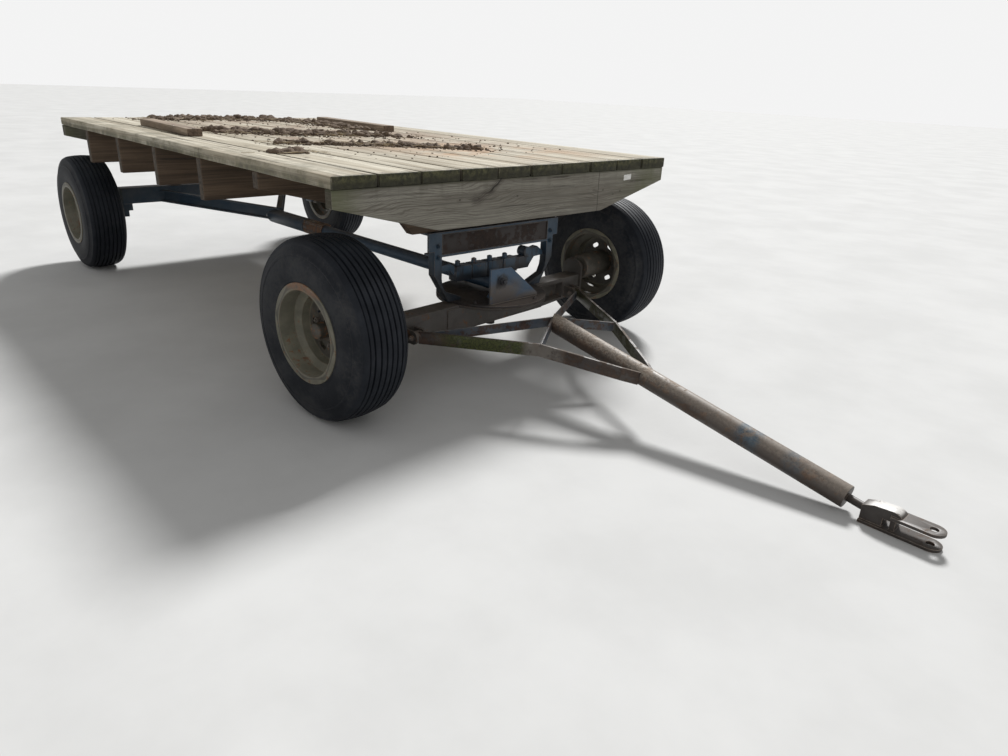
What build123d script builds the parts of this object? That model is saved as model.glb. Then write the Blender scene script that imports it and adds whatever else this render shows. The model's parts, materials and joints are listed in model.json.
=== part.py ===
from build123d import *
import os
from collections import namedtuple
from math import atan2, cos, degrees, radians, sin, tan

os.makedirs("parts", exist_ok=True)

# A flat-bed farm wagon: a plank deck on cross members over a four-wheel running gear.
# The front axle turns under a turntable and pulls on a hinged tongue.
# Millimetres, +Z up, +X towards the tongue, +Y the wagon's left side, ground at Z = 0.

# Driving sizes of the bed
DECK_LENGTH = 3658.0
DECK_WIDTH = 2134.0
DECK_TOP_Z = 1036.0
BED_SHIFT = 25.0
BOARD_COUNT = 10
BOARD_GAP = 11.5
BOARD_EDGE_ROUND = 5.0
LUMBER_THICK = 51.0
JOIST_HEIGHT = 203.0
JOIST_PITCH = 610.0
JOIST_COUNT = 5
HEADER_END_HEIGHT = 72.0
HEADER_TAPER_LENGTH = 520.0
PLANK_HEIGHT = 254.0
PLANK_LENGTH = 1210.0
PLANK_END_HEIGHT = 180.0
PLANK_TAPER_LENGTH = 60.0
CLEAT_WIDTH = 90.0
CLEAT_THICK = 42.0
EDGE_JOINT_LEAD = 1003.0

# Driving sizes of the wheels and axles
WHEELBASE = 3240.0
TYRE_RADIUS = 396.0
TYRE_WIDTH = 264.0
TREAD_HALF = 86.0
RIM_RADIUS = 190.0
RIM_FLANGE_RADIUS = 213.0
RIM_WIDTH = 244.0
RIM_WELL_RADIUS = 158.0
HUB_RADIUS = 72.0
HUB_CAP_RADIUS = 36.0
SPINDLE_RADIUS = 32.0
DECK_LEAD = 222.0
STEER_AT_REST = 4.5

# Driving sizes of the front and rear gear
AXLE_HALF_DEPTH = 50.0
FRONT_BEAM_TOP_Z = 358.0
FRONT_BEAM_LOW_Z = 238.0
FRONT_BEAM_HALF = 700.0
FRONT_SPINDLE_REACH = 297.0
TURNTABLE_RADIUS = 285.0
TURNTABLE_THICK = 12.0
TURNTABLE_GAP = 2.0
KINGPIN_RADIUS = 25.0
YOKE_HALF_DEPTH = 40.0
LEG_WIDTH = 46.0
LEG_DEPTH = 46.0
LEG_BEND_RISE = 141.0
LEG_FOOT_WIDTH = 46.0
EAR_HEIGHT = 90.0
EAR_THICK = 12.0
CAP_THICK = 12.0
BEAM_HEIGHT = 96.0
BEAM_HALF_LENGTH = 360.0
STANDARD_WIDTH = 80.0
REACH_RADIUS = 36.5
REACH_SLOPE = 0.4
REACH_LEAD = 190.0
REACH_FRONT_Z = 432.0
REACH_LENGTH = 2660.0
SLEEVE_RADIUS = 50.0
SLEEVE_START = 2075.0
SLEEVE_LENGTH = 510.0
COLLAR_LENGTH = 245.0
REAR_BEAM_LOW_Z = 441.0
REAR_BEAM_TOP_Z = 556.0
REAR_SPINDLE_REACH = 207.0
REAR_HOUND_SPREAD = 530.0
REAR_HOUND_Z = 488.0
REAR_HOUND_RISE = 24.0

# Driving sizes of the tongue
TONGUE_REACH = 2250.0
TUBE_REAR_Z = 330.3
TONGUE_RADIUS = 44.5
TUBE_REAR_LEAD = 445.0
CLEVIS_REACH = 325.0
TUBE_FRONT_Z = 56.0
HINGE_LEAD = 100.0
HINGE_Z = 292.0
HINGE_HALF_SPACING = 595.0
HINGE_PIN_RADIUS = 12.0
BAR_HEIGHT = 58.0
BAR_THICK = 12.0
BRACE_HEIGHT = 44.0
BRACE_THICK = 10.0
CLEVIS_PIN_RADIUS = 14.0
JAW_THICK = 12.0
JAW_WIDTH = 80.0
CLEVIS_HEIGHT = 68.0

# Worked-out places
WHEEL_TRACK = 2 * (FRONT_BEAM_HALF + FRONT_SPINDLE_REACH)
REAR_BEAM_HALF = WHEEL_TRACK / 2 - REAR_SPINDLE_REACH
TUBE_FRONT_LEAD = TONGUE_REACH - CLEVIS_REACH
TONGUE_SLOPE = degrees(atan2(TUBE_REAR_Z - TUBE_FRONT_Z, TUBE_FRONT_LEAD - TUBE_REAR_LEAD))
BOARD_WIDTH = (DECK_WIDTH - BOARD_GAP * (BOARD_COUNT - 1)) / BOARD_COUNT
BOARD_PITCH = BOARD_WIDTH + BOARD_GAP
FRONT_AXLE_X = (WHEELBASE + TYRE_RADIUS - TONGUE_REACH) / 2
REAR_AXLE_X = FRONT_AXLE_X - WHEELBASE
DECK_FRONT_X = FRONT_AXLE_X + DECK_LEAD
DECK_REAR_X = DECK_FRONT_X - DECK_LENGTH
BOARD_BOTTOM_Z = DECK_TOP_Z - LUMBER_THICK
PLANK_BOTTOM_Z = BOARD_BOTTOM_Z - PLANK_HEIGHT
HEADER_X = DECK_FRONT_X - LUMBER_THICK / 2
REAR_HEADER_X = DECK_REAR_X + LUMBER_THICK / 2
LOWER_PLATE_TOP_Z = FRONT_BEAM_TOP_Z + TURNTABLE_THICK
UPPER_PLATE_Z = LOWER_PLATE_TOP_Z + TURNTABLE_GAP
UPPER_PLATE_TOP_Z = UPPER_PLATE_Z + TURNTABLE_THICK
SPINDLE_END_Y = WHEEL_TRACK / 2 + 25
kingpin_line = Axis((FRONT_AXLE_X, 0, 0), (0, 0, 1))


def finish(piece, name, turn=0.0):
    """Turn one finished piece about the kingpin, label it and write it to its own file."""
    solid = piece.part.rotate(kingpin_line, turn) if turn else piece.part
    solid.label = name
    export_step(solid, "parts/" + name + ".step")


def turned(lead, y, z):
    """Point given from the kingpin in the front axle's own directions, as it stands at rest."""
    angle = radians(STEER_AT_REST)
    return Vector(FRONT_AXLE_X + lead * cos(angle) - y * sin(angle), lead * sin(angle) + y * cos(angle), z)


def bar_plane(start, end):
    """Plane along a bar from start to end: local X along it, local Y upwards, normal sideways."""
    along = (end - start).normalized()
    right = along.cross(Vector(0, 0, 1)).normalized()
    return Plane(origin=(start + end) / 2, x_dir=along, z_dir=right)


# Deck boards, laid lengthwise side by side, with ends that don't quite line up; the board
# at the right edge is in two lengths
Board = namedtuple("Board", "name row front rear")
EDGE_JOINT_X = FRONT_AXLE_X - EDGE_JOINT_LEAD
boards = [
    Board("deck_board_01_front", 0, DECK_FRONT_X + 6, EDGE_JOINT_X + 2),
    Board("deck_board_01_rear", 0, EDGE_JOINT_X - 2, DECK_REAR_X - 4),
]
end_trims = (3, 5, 0, 6, 2, 4, 1, 5, 3, 6)
for row in range(1, BOARD_COUNT):
    trim = end_trims[row % len(end_trims)]
    boards.append(Board(f"deck_board_{row + 1:02d}", row, DECK_FRONT_X + trim, DECK_REAR_X - 6 + trim))
for board in boards:
    board_y = BED_SHIFT - DECK_WIDTH / 2 + BOARD_WIDTH / 2 + board.row * BOARD_PITCH
    with BuildPart() as deck_board:
        with BuildSketch(Plane.YZ.offset(board.rear)):
            with Locations((board_y, DECK_TOP_Z - LUMBER_THICK / 2)):
                RectangleRounded(BOARD_WIDTH, LUMBER_THICK, BOARD_EDGE_ROUND)
        extrude(amount=board.front - board.rear)
    finish(deck_board, board.name)

# Cross members on edge under the boards: the two headers and the joist behind the front
# header are cut away towards their ends, the two planks stand on the bolsters
CrossMember = namedtuple("CrossMember", "name x height end_height taper length")
header_size = (JOIST_HEIGHT, HEADER_END_HEIGHT, HEADER_TAPER_LENGTH, DECK_WIDTH)
plank_size = (PLANK_HEIGHT, PLANK_END_HEIGHT, PLANK_TAPER_LENGTH, PLANK_LENGTH)
cross_members = [
    CrossMember("header_front", HEADER_X, *header_size),
    CrossMember("header_rear", REAR_HEADER_X, *header_size),
    CrossMember("plank_front", FRONT_AXLE_X, *plank_size),
    CrossMember("plank_rear", REAR_AXLE_X, *plank_size),
]
for number in range(JOIST_COUNT):
    joist_x = HEADER_X - JOIST_PITCH * (number + 1)
    end_height = HEADER_END_HEIGHT if number == 0 else JOIST_HEIGHT - 4
    taper = HEADER_TAPER_LENGTH if number == 0 else 12.0
    cross_members.append(
        CrossMember(f"joist_{number + 1}", joist_x, JOIST_HEIGHT, end_height, taper, DECK_WIDTH)
    )
for member in cross_members:
    plane = Plane.YZ.offset(member.x - LUMBER_THICK / 2)
    half = member.length / 2
    inner = half - member.taper
    low = BOARD_BOTTOM_Z - member.height
    end_low = BOARD_BOTTOM_Z - member.end_height
    with BuildPart() as cross_member:
        with BuildSketch(plane):
            with Locations((BED_SHIFT, 0)):
                Polygon(
                    (-half, BOARD_BOTTOM_Z),
                    (-half, end_low),
                    (-inner, low),
                    (inner, low),
                    (half, end_low),
                    (half, BOARD_BOTTOM_Z),
                    align=None,
                )
        extrude(amount=LUMBER_THICK)
    finish(cross_member, member.name)

# Two cleats laid on top of the deck near its rear
Cleat = namedtuple("Cleat", "name x y length turn")
cleats = [
    Cleat("cleat_right", DECK_REAR_X + 1330, BED_SHIFT - DECK_WIDTH / 2 + 270, 930, -3.6),
    Cleat("cleat_left", DECK_REAR_X + 1120, BED_SHIFT + DECK_WIDTH / 2 - 430, 1040, -3.8),
]
for cleat in cleats:
    with BuildPart() as cleat_piece:
        with BuildSketch(Plane.XY.offset(DECK_TOP_Z)):
            with Locations(Location((cleat.x, cleat.y, 0), (0, 0, cleat.turn))):
                Rectangle(cleat.length, CLEAT_WIDTH)
        extrude(amount=CLEAT_THICK)
    finish(cleat_piece, cleat.name)

# Front bolster: a beam in a frame of flat bar, an ear plate beside each end of the beam,
# and two legs that bend in to their feet on the turntable
beam_top_z = PLANK_BOTTOM_Z - CAP_THICK
beam_low_z = beam_top_z - BEAM_HEIGHT
yoke_half = BEAM_HALF_LENGTH + STANDARD_WIDTH
leg_out = BEAM_HALF_LENGTH + LEG_WIDTH
bend_z = UPPER_PLATE_TOP_Z + LEG_BEND_RISE
foot_out = TURNTABLE_RADIUS + 33
foot_in = TURNTABLE_RADIUS - LEG_FOOT_WIDTH
yoke_front_x = FRONT_AXLE_X + YOKE_HALF_DEPTH
with BuildPart() as bolster_beam:
    with BuildSketch(Plane.YZ.offset(FRONT_AXLE_X - YOKE_HALF_DEPTH + 4)):
        with Locations((0, (beam_top_z + beam_low_z) / 2)):
            Rectangle(2 * BEAM_HALF_LENGTH, BEAM_HEIGHT)
    extrude(amount=2 * YOKE_HALF_DEPTH - 8)
finish(bolster_beam, "bolster_beam")

with BuildPart() as bolster_yoke:
    with BuildSketch(Plane.YZ.offset(FRONT_AXLE_X - YOKE_HALF_DEPTH)):
        with Locations((0, (PLANK_BOTTOM_Z + beam_top_z) / 2)):
            Rectangle(2 * yoke_half, CAP_THICK)
        with Locations((0, beam_low_z - CAP_THICK / 2)):
            Rectangle(2 * leg_out, CAP_THICK)
    extrude(amount=2 * YOKE_HALF_DEPTH)
    for side in (-1, 1):
        with BuildSketch(Plane.YZ.offset(yoke_front_x)):
            Polygon(
                (side * leg_out, beam_top_z),
                (side * leg_out, bend_z),
                (side * foot_out, UPPER_PLATE_TOP_Z),
                (side * foot_in, UPPER_PLATE_TOP_Z),
                (side * foot_in, UPPER_PLATE_TOP_Z + 16),
                (side * (BEAM_HALF_LENGTH - 22), bend_z - 85),
                (side * (BEAM_HALF_LENGTH - 4), bend_z - 47),
                (side * BEAM_HALF_LENGTH, bend_z - 20),
                (side * BEAM_HALF_LENGTH, beam_top_z),
                align=None,
            )
        extrude(amount=-LEG_DEPTH)
        ear_y = side * (BEAM_HALF_LENGTH + STANDARD_WIDTH / 2)
        with BuildSketch(Plane.YZ.offset(yoke_front_x)):
            with Locations((ear_y, PLANK_BOTTOM_Z - EAR_HEIGHT / 2)):
                Rectangle(STANDARD_WIDTH, EAR_HEIGHT)
        extrude(amount=-EAR_THICK)
finish(bolster_yoke, "bolster_yoke")

# Cross bar between the standards: a row of clamps on a bar, a lump and a lug at its ends
BAR_MID_Z = 512.0
BAR_RISE = 32.0
BAR_DEPTH = 44.0
CLAMP_COUNT = 4
CLAMP_PITCH = 106.0
CLAMP_LENGTH = 98.0
CLAMP_BOLT_RADIUS = 13.0
CLAMP_BOLT_RISE = 28.0
BAR_LUMP_RADIUS = 28.0
with BuildPart() as clamp_bar:
    with BuildSketch(Plane.YZ.offset(FRONT_AXLE_X - BAR_DEPTH / 2)):
        Polygon(
            (-264, BAR_MID_Z + BAR_RISE),
            (-264, BAR_MID_Z),
            (-244, BAR_MID_Z - BAR_RISE),
            (244, BAR_MID_Z - BAR_RISE),
            (264, BAR_MID_Z),
            (264, BAR_MID_Z + BAR_RISE),
            align=None,
        )
    extrude(amount=BAR_DEPTH)
    with BuildSketch(Plane.YZ.offset(FRONT_AXLE_X - BAR_DEPTH / 2 - 7)):
        with Locations((-CLAMP_PITCH / 2, BAR_MID_Z)):
            with GridLocations(CLAMP_PITCH, 1, CLAMP_COUNT, 1):
                Rectangle(CLAMP_LENGTH, 2 * BAR_RISE + 10)
    extrude(amount=BAR_DEPTH + 14)
    with BuildSketch(Plane.XY.offset(BAR_MID_Z)):
        with Locations((FRONT_AXLE_X + 4, -CLAMP_PITCH / 2 - 22)):
            with GridLocations(1, CLAMP_PITCH, 1, CLAMP_COUNT):
                Circle(CLAMP_BOLT_RADIUS)
    extrude(amount=BAR_RISE + CLAMP_BOLT_RISE)
    with BuildSketch(Plane.YZ.offset(FRONT_AXLE_X - BAR_LUMP_RADIUS)):
        with Locations((232, BAR_MID_Z + BAR_RISE + 20)):
            Circle(BAR_LUMP_RADIUS)
    extrude(amount=2 * BAR_LUMP_RADIUS)
    with BuildSketch(Plane.YZ.offset(FRONT_AXLE_X - 18)):
        Polygon(
            (-255, BAR_MID_Z + BAR_RISE),
            (-290, BAR_MID_Z + BAR_RISE + 22),
            (-BEAM_HALF_LENGTH, BAR_MID_Z + 50),
            (-BEAM_HALF_LENGTH, BAR_MID_Z + 24),
            (-290, BAR_MID_Z + 20),
            (-255, BAR_MID_Z - 20),
            align=None,
        )
        Polygon(
            (255, BAR_MID_Z - 20),
            (255, BAR_MID_Z + BAR_RISE + 30),
            (312, BAR_MID_Z + BAR_RISE + 42),
            (BEAM_HALF_LENGTH, BAR_MID_Z + BAR_RISE + 8),
            (BEAM_HALF_LENGTH, BAR_MID_Z + 24),
            (290, BAR_MID_Z + 20),
            align=None,
        )
    extrude(amount=36)
finish(clamp_bar, "clamp_bar")

# Upper turntable plate with its kingpin, carried by the wagon side
with BuildPart() as turntable_upper:
    with BuildSketch(Plane.XY.offset(UPPER_PLATE_Z)):
        with Locations((FRONT_AXLE_X, 0)):
            Circle(TURNTABLE_RADIUS)
    extrude(amount=TURNTABLE_THICK)
    with BuildSketch(Plane.XY.offset(UPPER_PLATE_Z)):
        with Locations((FRONT_AXLE_X, 0)):
            Circle(KINGPIN_RADIUS)
    extrude(amount=-(UPPER_PLATE_Z - FRONT_BEAM_LOW_Z + 30))
finish(turntable_upper, "turntable_upper")

# Bracket near the front of the upper plate: an upright plate, cut away on one side, with
# a pin hole, and two gussets behind it
BRACKET_THICK = 12.0
BRACKET_TOP_Z = 556.0
bracket_x = FRONT_AXLE_X + REACH_LEAD
with BuildPart() as reach_bracket:
    with BuildSketch(Plane.YZ.offset(bracket_x)):
        Polygon(
            (-190, UPPER_PLATE_TOP_Z),
            (-190, BRACKET_TOP_Z + 4),
            (-56, BRACKET_TOP_Z),
            (134, UPPER_PLATE_TOP_Z + 18),
            (138, UPPER_PLATE_TOP_Z),
            align=None,
        )
        with Locations((-113, BRACKET_TOP_Z - 61)):
            Circle(14, mode=Mode.SUBTRACT)
    extrude(amount=BRACKET_THICK)
    for gusset_y, gusset_top in ((-100, BRACKET_TOP_Z - 6), (60, UPPER_PLATE_TOP_Z + 70)):
        with BuildSketch(Plane.XZ.offset(-gusset_y - 5)):
            Polygon(
                (bracket_x, gusset_top),
                (bracket_x, UPPER_PLATE_TOP_Z),
                (bracket_x - 110, UPPER_PLATE_TOP_Z),
                align=None,
            )
        extrude(amount=10)
finish(reach_bracket, "reach_bracket")

# Reach: the long tube from the bracket back into the socket of the rear hounds
reach_back = Vector(-cos(radians(REACH_SLOPE)), 0, -sin(radians(REACH_SLOPE)))
reach_front = Vector(bracket_x, 0, REACH_FRONT_Z)
with BuildPart() as reach_tube:
    with BuildSketch(Plane(origin=reach_front - reach_back * 20, z_dir=reach_back)):
        Circle(REACH_RADIUS)
    extrude(amount=REACH_LENGTH + 20)
    with BuildSketch(Plane.YZ.offset(bracket_x)):
        with Locations((0, REACH_FRONT_Z)):
            Circle(3 * REACH_RADIUS)
    extrude(amount=60, mode=Mode.SUBTRACT)
finish(reach_tube, "reach_tube")

sleeve_front = reach_front + reach_back * SLEEVE_START
sleeve_rear = sleeve_front + reach_back * SLEEVE_LENGTH
with BuildPart() as reach_sleeve:
    with BuildSketch(Plane(origin=sleeve_front, z_dir=reach_back)):
        Circle(SLEEVE_RADIUS)
        Circle(REACH_RADIUS, mode=Mode.SUBTRACT)
    extrude(amount=SLEEVE_LENGTH)
finish(reach_sleeve, "reach_sleeve")

# Collar ahead of the sleeve: a rusty clamp with a split boss along its lower side
collar_front = reach_front + reach_back * (SLEEVE_START - COLLAR_LENGTH)
with BuildPart() as reach_collar:
    with BuildSketch(Plane(origin=collar_front, z_dir=reach_back)):
        Circle(REACH_RADIUS + 9)
        with Locations((0, 0)):
            Rectangle(84, 70)
        Circle(REACH_RADIUS, mode=Mode.SUBTRACT)
    extrude(amount=COLLAR_LENGTH)
finish(reach_collar, "reach_collar")

# Rear axle: a beam with a drop bracket and a spindle at each end
bracket_inner = REAR_BEAM_HALF - 36
with BuildPart() as rear_axle:
    with BuildSketch(Plane.XY.offset(REAR_BEAM_LOW_Z)):
        with Locations((REAR_AXLE_X, 0)):
            Rectangle(2 * AXLE_HALF_DEPTH, 2 * REAR_BEAM_HALF)
    extrude(amount=REAR_BEAM_TOP_Z - REAR_BEAM_LOW_Z)
    for side in (-1, 1):
        with BuildSketch(Plane.XZ.offset(-side * bracket_inner)):
            with Locations((REAR_AXLE_X, (REAR_BEAM_LOW_Z + TYRE_RADIUS - 38) / 2)):
                Rectangle(2 * AXLE_HALF_DEPTH - 10, REAR_BEAM_LOW_Z - TYRE_RADIUS + 58)
        extrude(amount=-side * (REAR_BEAM_HALF - bracket_inner))
        with BuildSketch(Plane.XZ.offset(-side * (bracket_inner + 6))):
            with Locations((REAR_AXLE_X + AXLE_HALF_DEPTH - 20, REAR_BEAM_LOW_Z - 24)):
                Rectangle(30, 52)
        extrude(amount=side * 36)
        with BuildSketch(Plane.XZ.offset(-side * bracket_inner)):
            with Locations((REAR_AXLE_X, TYRE_RADIUS)):
                Circle(SPINDLE_RADIUS)
        extrude(amount=-side * (SPINDLE_END_Y - bracket_inner))
finish(rear_axle, "rear_axle")

# Rear bolster: two posts on the axle beam under a cap plate that carries the rear plank
with BuildPart() as rear_bolster:
    with BuildSketch(Plane.XY.offset(REAR_BEAM_TOP_Z)):
        with Locations((REAR_AXLE_X, -390), (REAR_AXLE_X, 390)):
            Rectangle(80, STANDARD_WIDTH)
    extrude(amount=PLANK_BOTTOM_Z - CAP_THICK - REAR_BEAM_TOP_Z)
    with BuildSketch(Plane.XY.offset(PLANK_BOTTOM_Z - CAP_THICK)):
        with Locations((REAR_AXLE_X, 0)):
            Rectangle(2 * AXLE_HALF_DEPTH, 2 * yoke_half)
    extrude(amount=CAP_THICK)
finish(rear_bolster, "rear_bolster")

# Rear hounds: two channels, open outwards, from the axle beam to the sleeve of the reach
HOUND_HEIGHT = 86.0
HOUND_THICK = 40.0
HOUND_WALL = 9.0
for side, name in ((-1, "rear_hound_right"), (1, "rear_hound_left")):
    hound_rear = Vector(REAR_AXLE_X - 10, side * REAR_HOUND_SPREAD, REAR_HOUND_Z)
    hound_front = Vector(sleeve_rear.X + 50, side * 25, sleeve_rear.Z + REAR_HOUND_RISE)
    length = (hound_front - hound_rear).length + 60
    plane = bar_plane(hound_rear, hound_front)
    with BuildPart() as rear_hound:
        with BuildSketch(plane):
            Rectangle(length, HOUND_HEIGHT)
        extrude(amount=HOUND_THICK / 2, both=True)
        with BuildSketch(plane.offset(-side * HOUND_THICK / 2)):
            Rectangle(length, HOUND_HEIGHT - 2 * HOUND_WALL)
        extrude(amount=side * (HOUND_THICK - HOUND_WALL), mode=Mode.SUBTRACT)
        with BuildSketch(Plane(origin=sleeve_front, z_dir=reach_back)):
            Circle(SLEEVE_RADIUS)
        extrude(amount=SLEEVE_LENGTH + 200, mode=Mode.SUBTRACT)
        with BuildSketch(Plane.XZ):
            with Locations((sleeve_rear.X, sleeve_rear.Z)):
                Rectangle(900, 500)
        extrude(amount=side * 500, mode=Mode.SUBTRACT)
        with BuildSketch(Plane.XY):
            with Locations((REAR_AXLE_X - 100, 0)):
                Rectangle(200 + 2 * AXLE_HALF_DEPTH, 2 * DECK_WIDTH)
        extrude(amount=DECK_TOP_Z, mode=Mode.SUBTRACT)
    finish(rear_hound, name)

# Front axle: a deeper middle, lighter tapered ends, the left one with a pocket in its front,
# the lower turntable plate, end plates, spindles, hinge lugs and hinge pins
MIDDLE_HALF = 360.0
END_LOW_RISE = 20.0
END_TOP_RISE = 12.0
END_PLATE_THICK = 15.0
END_PLATE_RADIUS = 64.0
LUG_THICK = 12.0
LUG_GAP = 40.0
end_low_z = FRONT_BEAM_LOW_Z + END_LOW_RISE
with BuildPart() as front_axle_beam:
    with BuildSketch(Plane.XY.offset(FRONT_BEAM_LOW_Z)):
        with Locations((FRONT_AXLE_X, 0)):
            Rectangle(2 * AXLE_HALF_DEPTH + 12, 2 * MIDDLE_HALF)
    extrude(amount=FRONT_BEAM_TOP_Z - FRONT_BEAM_LOW_Z)
    with BuildSketch(Plane.YZ.offset(FRONT_AXLE_X - AXLE_HALF_DEPTH)):
        Polygon(
            (-FRONT_BEAM_HALF, FRONT_BEAM_TOP_Z + END_TOP_RISE),
            (-FRONT_BEAM_HALF, end_low_z),
            (-MIDDLE_HALF, FRONT_BEAM_LOW_Z),
            (MIDDLE_HALF, FRONT_BEAM_LOW_Z),
            (FRONT_BEAM_HALF, end_low_z),
            (FRONT_BEAM_HALF, FRONT_BEAM_TOP_Z + END_TOP_RISE),
            align=None,
        )
    extrude(amount=2 * AXLE_HALF_DEPTH)
    with BuildSketch(Plane.YZ.offset(FRONT_AXLE_X + AXLE_HALF_DEPTH)):
        Polygon(
            (MIDDLE_HALF + 25, FRONT_BEAM_TOP_Z - 12),
            (MIDDLE_HALF + 25, FRONT_BEAM_LOW_Z + 20),
            (HINGE_HALF_SPACING - 45, end_low_z + 2),
            (HINGE_HALF_SPACING - 45, FRONT_BEAM_TOP_Z - 12),
            align=None,
        )
    extrude(amount=-AXLE_HALF_DEPTH, mode=Mode.SUBTRACT)
    with BuildSketch(Plane.XY.offset(FRONT_BEAM_TOP_Z)):
        with Locations((FRONT_AXLE_X, 0)):
            Circle(TURNTABLE_RADIUS)
    extrude(amount=TURNTABLE_THICK)
    with BuildSketch(Plane.XY.offset(FRONT_BEAM_LOW_Z - 20)):
        with Locations((FRONT_AXLE_X, 0)):
            Circle(KINGPIN_RADIUS + 1)
    extrude(amount=FRONT_BEAM_TOP_Z - FRONT_BEAM_LOW_Z + 60, mode=Mode.SUBTRACT)
    for side in (-1, 1):
        with BuildSketch(Plane.XZ.offset(-side * FRONT_BEAM_HALF)):
            with Locations((FRONT_AXLE_X, (TYRE_RADIUS + end_low_z) / 2)):
                Rectangle(2 * END_PLATE_RADIUS, TYRE_RADIUS - end_low_z)
            with Locations((FRONT_AXLE_X, TYRE_RADIUS)):
                Circle(END_PLATE_RADIUS)
        extrude(amount=-side * END_PLATE_THICK)
        for radius, out in (
            (SPINDLE_RADIUS + 13, END_PLATE_THICK + 30),
            (SPINDLE_RADIUS, SPINDLE_END_Y - FRONT_BEAM_HALF),
        ):
            with BuildSketch(Plane.XZ.offset(-side * FRONT_BEAM_HALF)):
                with Locations((FRONT_AXLE_X, TYRE_RADIUS)):
                    Circle(radius)
            extrude(amount=-side * out)
        for offset in (-LUG_GAP / 2 - LUG_THICK, LUG_GAP / 2):
            with BuildSketch(Plane.XZ.offset(-side * HINGE_HALF_SPACING - offset)):
                with Locations((FRONT_AXLE_X + HINGE_LEAD, HINGE_Z)):
                    Circle(32)
                with Locations((FRONT_AXLE_X + (HINGE_LEAD + AXLE_HALF_DEPTH) / 2 - 4, HINGE_Z)):
                    Rectangle(HINGE_LEAD - AXLE_HALF_DEPTH + 8, 64)
            extrude(amount=-LUG_THICK)
        with BuildSketch(Plane.XZ.offset(-side * HINGE_HALF_SPACING + 40)):
            with Locations((FRONT_AXLE_X + HINGE_LEAD, HINGE_Z)):
                Circle(HINGE_PIN_RADIUS)
        extrude(amount=-80)
finish(front_axle_beam, "front_axle_beam", STEER_AT_REST)

# Tongue tube, from the crossing of the braces down to the clevis rod
tube_ahead = Vector(cos(radians(TONGUE_SLOPE)), 0, -sin(radians(TONGUE_SLOPE)))
tube_front = Vector(FRONT_AXLE_X + TUBE_FRONT_LEAD, 0, TUBE_FRONT_Z)
tube_length = (TUBE_FRONT_LEAD - TUBE_REAR_LEAD) / cos(radians(TONGUE_SLOPE))
tube_rear = tube_front - tube_ahead * tube_length


def on_tube(lead, y):
    """Point beside the tube's centreline at a distance ahead of the kingpin."""
    rise = (TUBE_FRONT_LEAD - lead) * tan(radians(TONGUE_SLOPE))
    return Vector(FRONT_AXLE_X + lead, y, TUBE_FRONT_Z + rise)


# Tongue hounds: flat bars on edge from the hinges, level at first and then down the tube's
# slope, with their ends turned in against the tube
HOUND_BEND_LEAD = 620.0
HOUND_BEND_Y = 268.0
HOUND_NOSE_LEAD = 940.0
HOUND_NOSE_Y = 84.0
HOUND_END_LEAD = 1004.0
for side, name in ((-1, "tongue_hound_right"), (1, "tongue_hound_left")):
    eye = turned(HINGE_LEAD, side * HINGE_HALF_SPACING, HINGE_Z)
    rear_end = turned(HINGE_LEAD + 14, side * (HINGE_HALF_SPACING + 4), HINGE_Z)
    bend = Vector(FRONT_AXLE_X + HOUND_BEND_LEAD, side * HOUND_BEND_Y, HINGE_Z + 3)
    nose = on_tube(HOUND_NOSE_LEAD, side * HOUND_NOSE_Y)
    tip = on_tube(HOUND_END_LEAD, side * (TONGUE_RADIUS - 4))
    eye_plane = Plane(origin=eye, z_dir=turned(0, 1, 0) - turned(0, 0, 0))
    with BuildPart() as tongue_hound:
        for start, end in ((rear_end, bend), (bend, nose), (nose, tip)):
            with BuildSketch(bar_plane(start, end)):
                Rectangle((end - start).length + 2, BAR_HEIGHT)
            extrude(amount=BAR_THICK / 2, both=True)
        with BuildSketch(eye_plane):
            Circle(28)
        extrude(amount=LUG_GAP / 2 - 3, both=True)
        with BuildSketch(eye_plane):
            Circle(HINGE_PIN_RADIUS + 0.6)
        extrude(amount=60, both=True, mode=Mode.SUBTRACT)
        with BuildSketch(Plane(origin=tube_front, z_dir=tube_ahead)):
            Circle(TONGUE_RADIUS)
        extrude(amount=-tube_length, mode=Mode.SUBTRACT)
    finish(tongue_hound, name)

# Crossed braces: each runs from one hinge over the crossing at the tube's rear end to the
# bend of the other hound, one cut away above and one below where they cross
CROSSING_LEAD = 446.0
CROSSING_Z = 332.0
crossing = Vector(FRONT_AXLE_X + CROSSING_LEAD, 0, CROSSING_Z)
for side, name in ((-1, "tongue_brace_right"), (1, "tongue_brace_left")):
    hinge_end = turned(HINGE_LEAD + 50, side * (HINGE_HALF_SPACING - 46), HINGE_Z + 2)
    hound_end = Vector(FRONT_AXLE_X + HOUND_BEND_LEAD - 6, -side * (HOUND_BEND_Y - 12), HINGE_Z + 8)
    with BuildPart() as tongue_brace:
        for start, end in ((hinge_end, crossing), (crossing, hound_end)):
            with BuildSketch(bar_plane(start, end)):
                Rectangle((end - start).length + 2, BRACE_HEIGHT)
            extrude(amount=BRACE_THICK / 2, both=True)
        with BuildSketch(Plane.XY.offset(CROSSING_Z)):
            with Locations((crossing.X, 0)):
                Rectangle(30, 30)
        extrude(amount=side * BAR_HEIGHT, mode=Mode.SUBTRACT)
    finish(tongue_brace, name)

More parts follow.
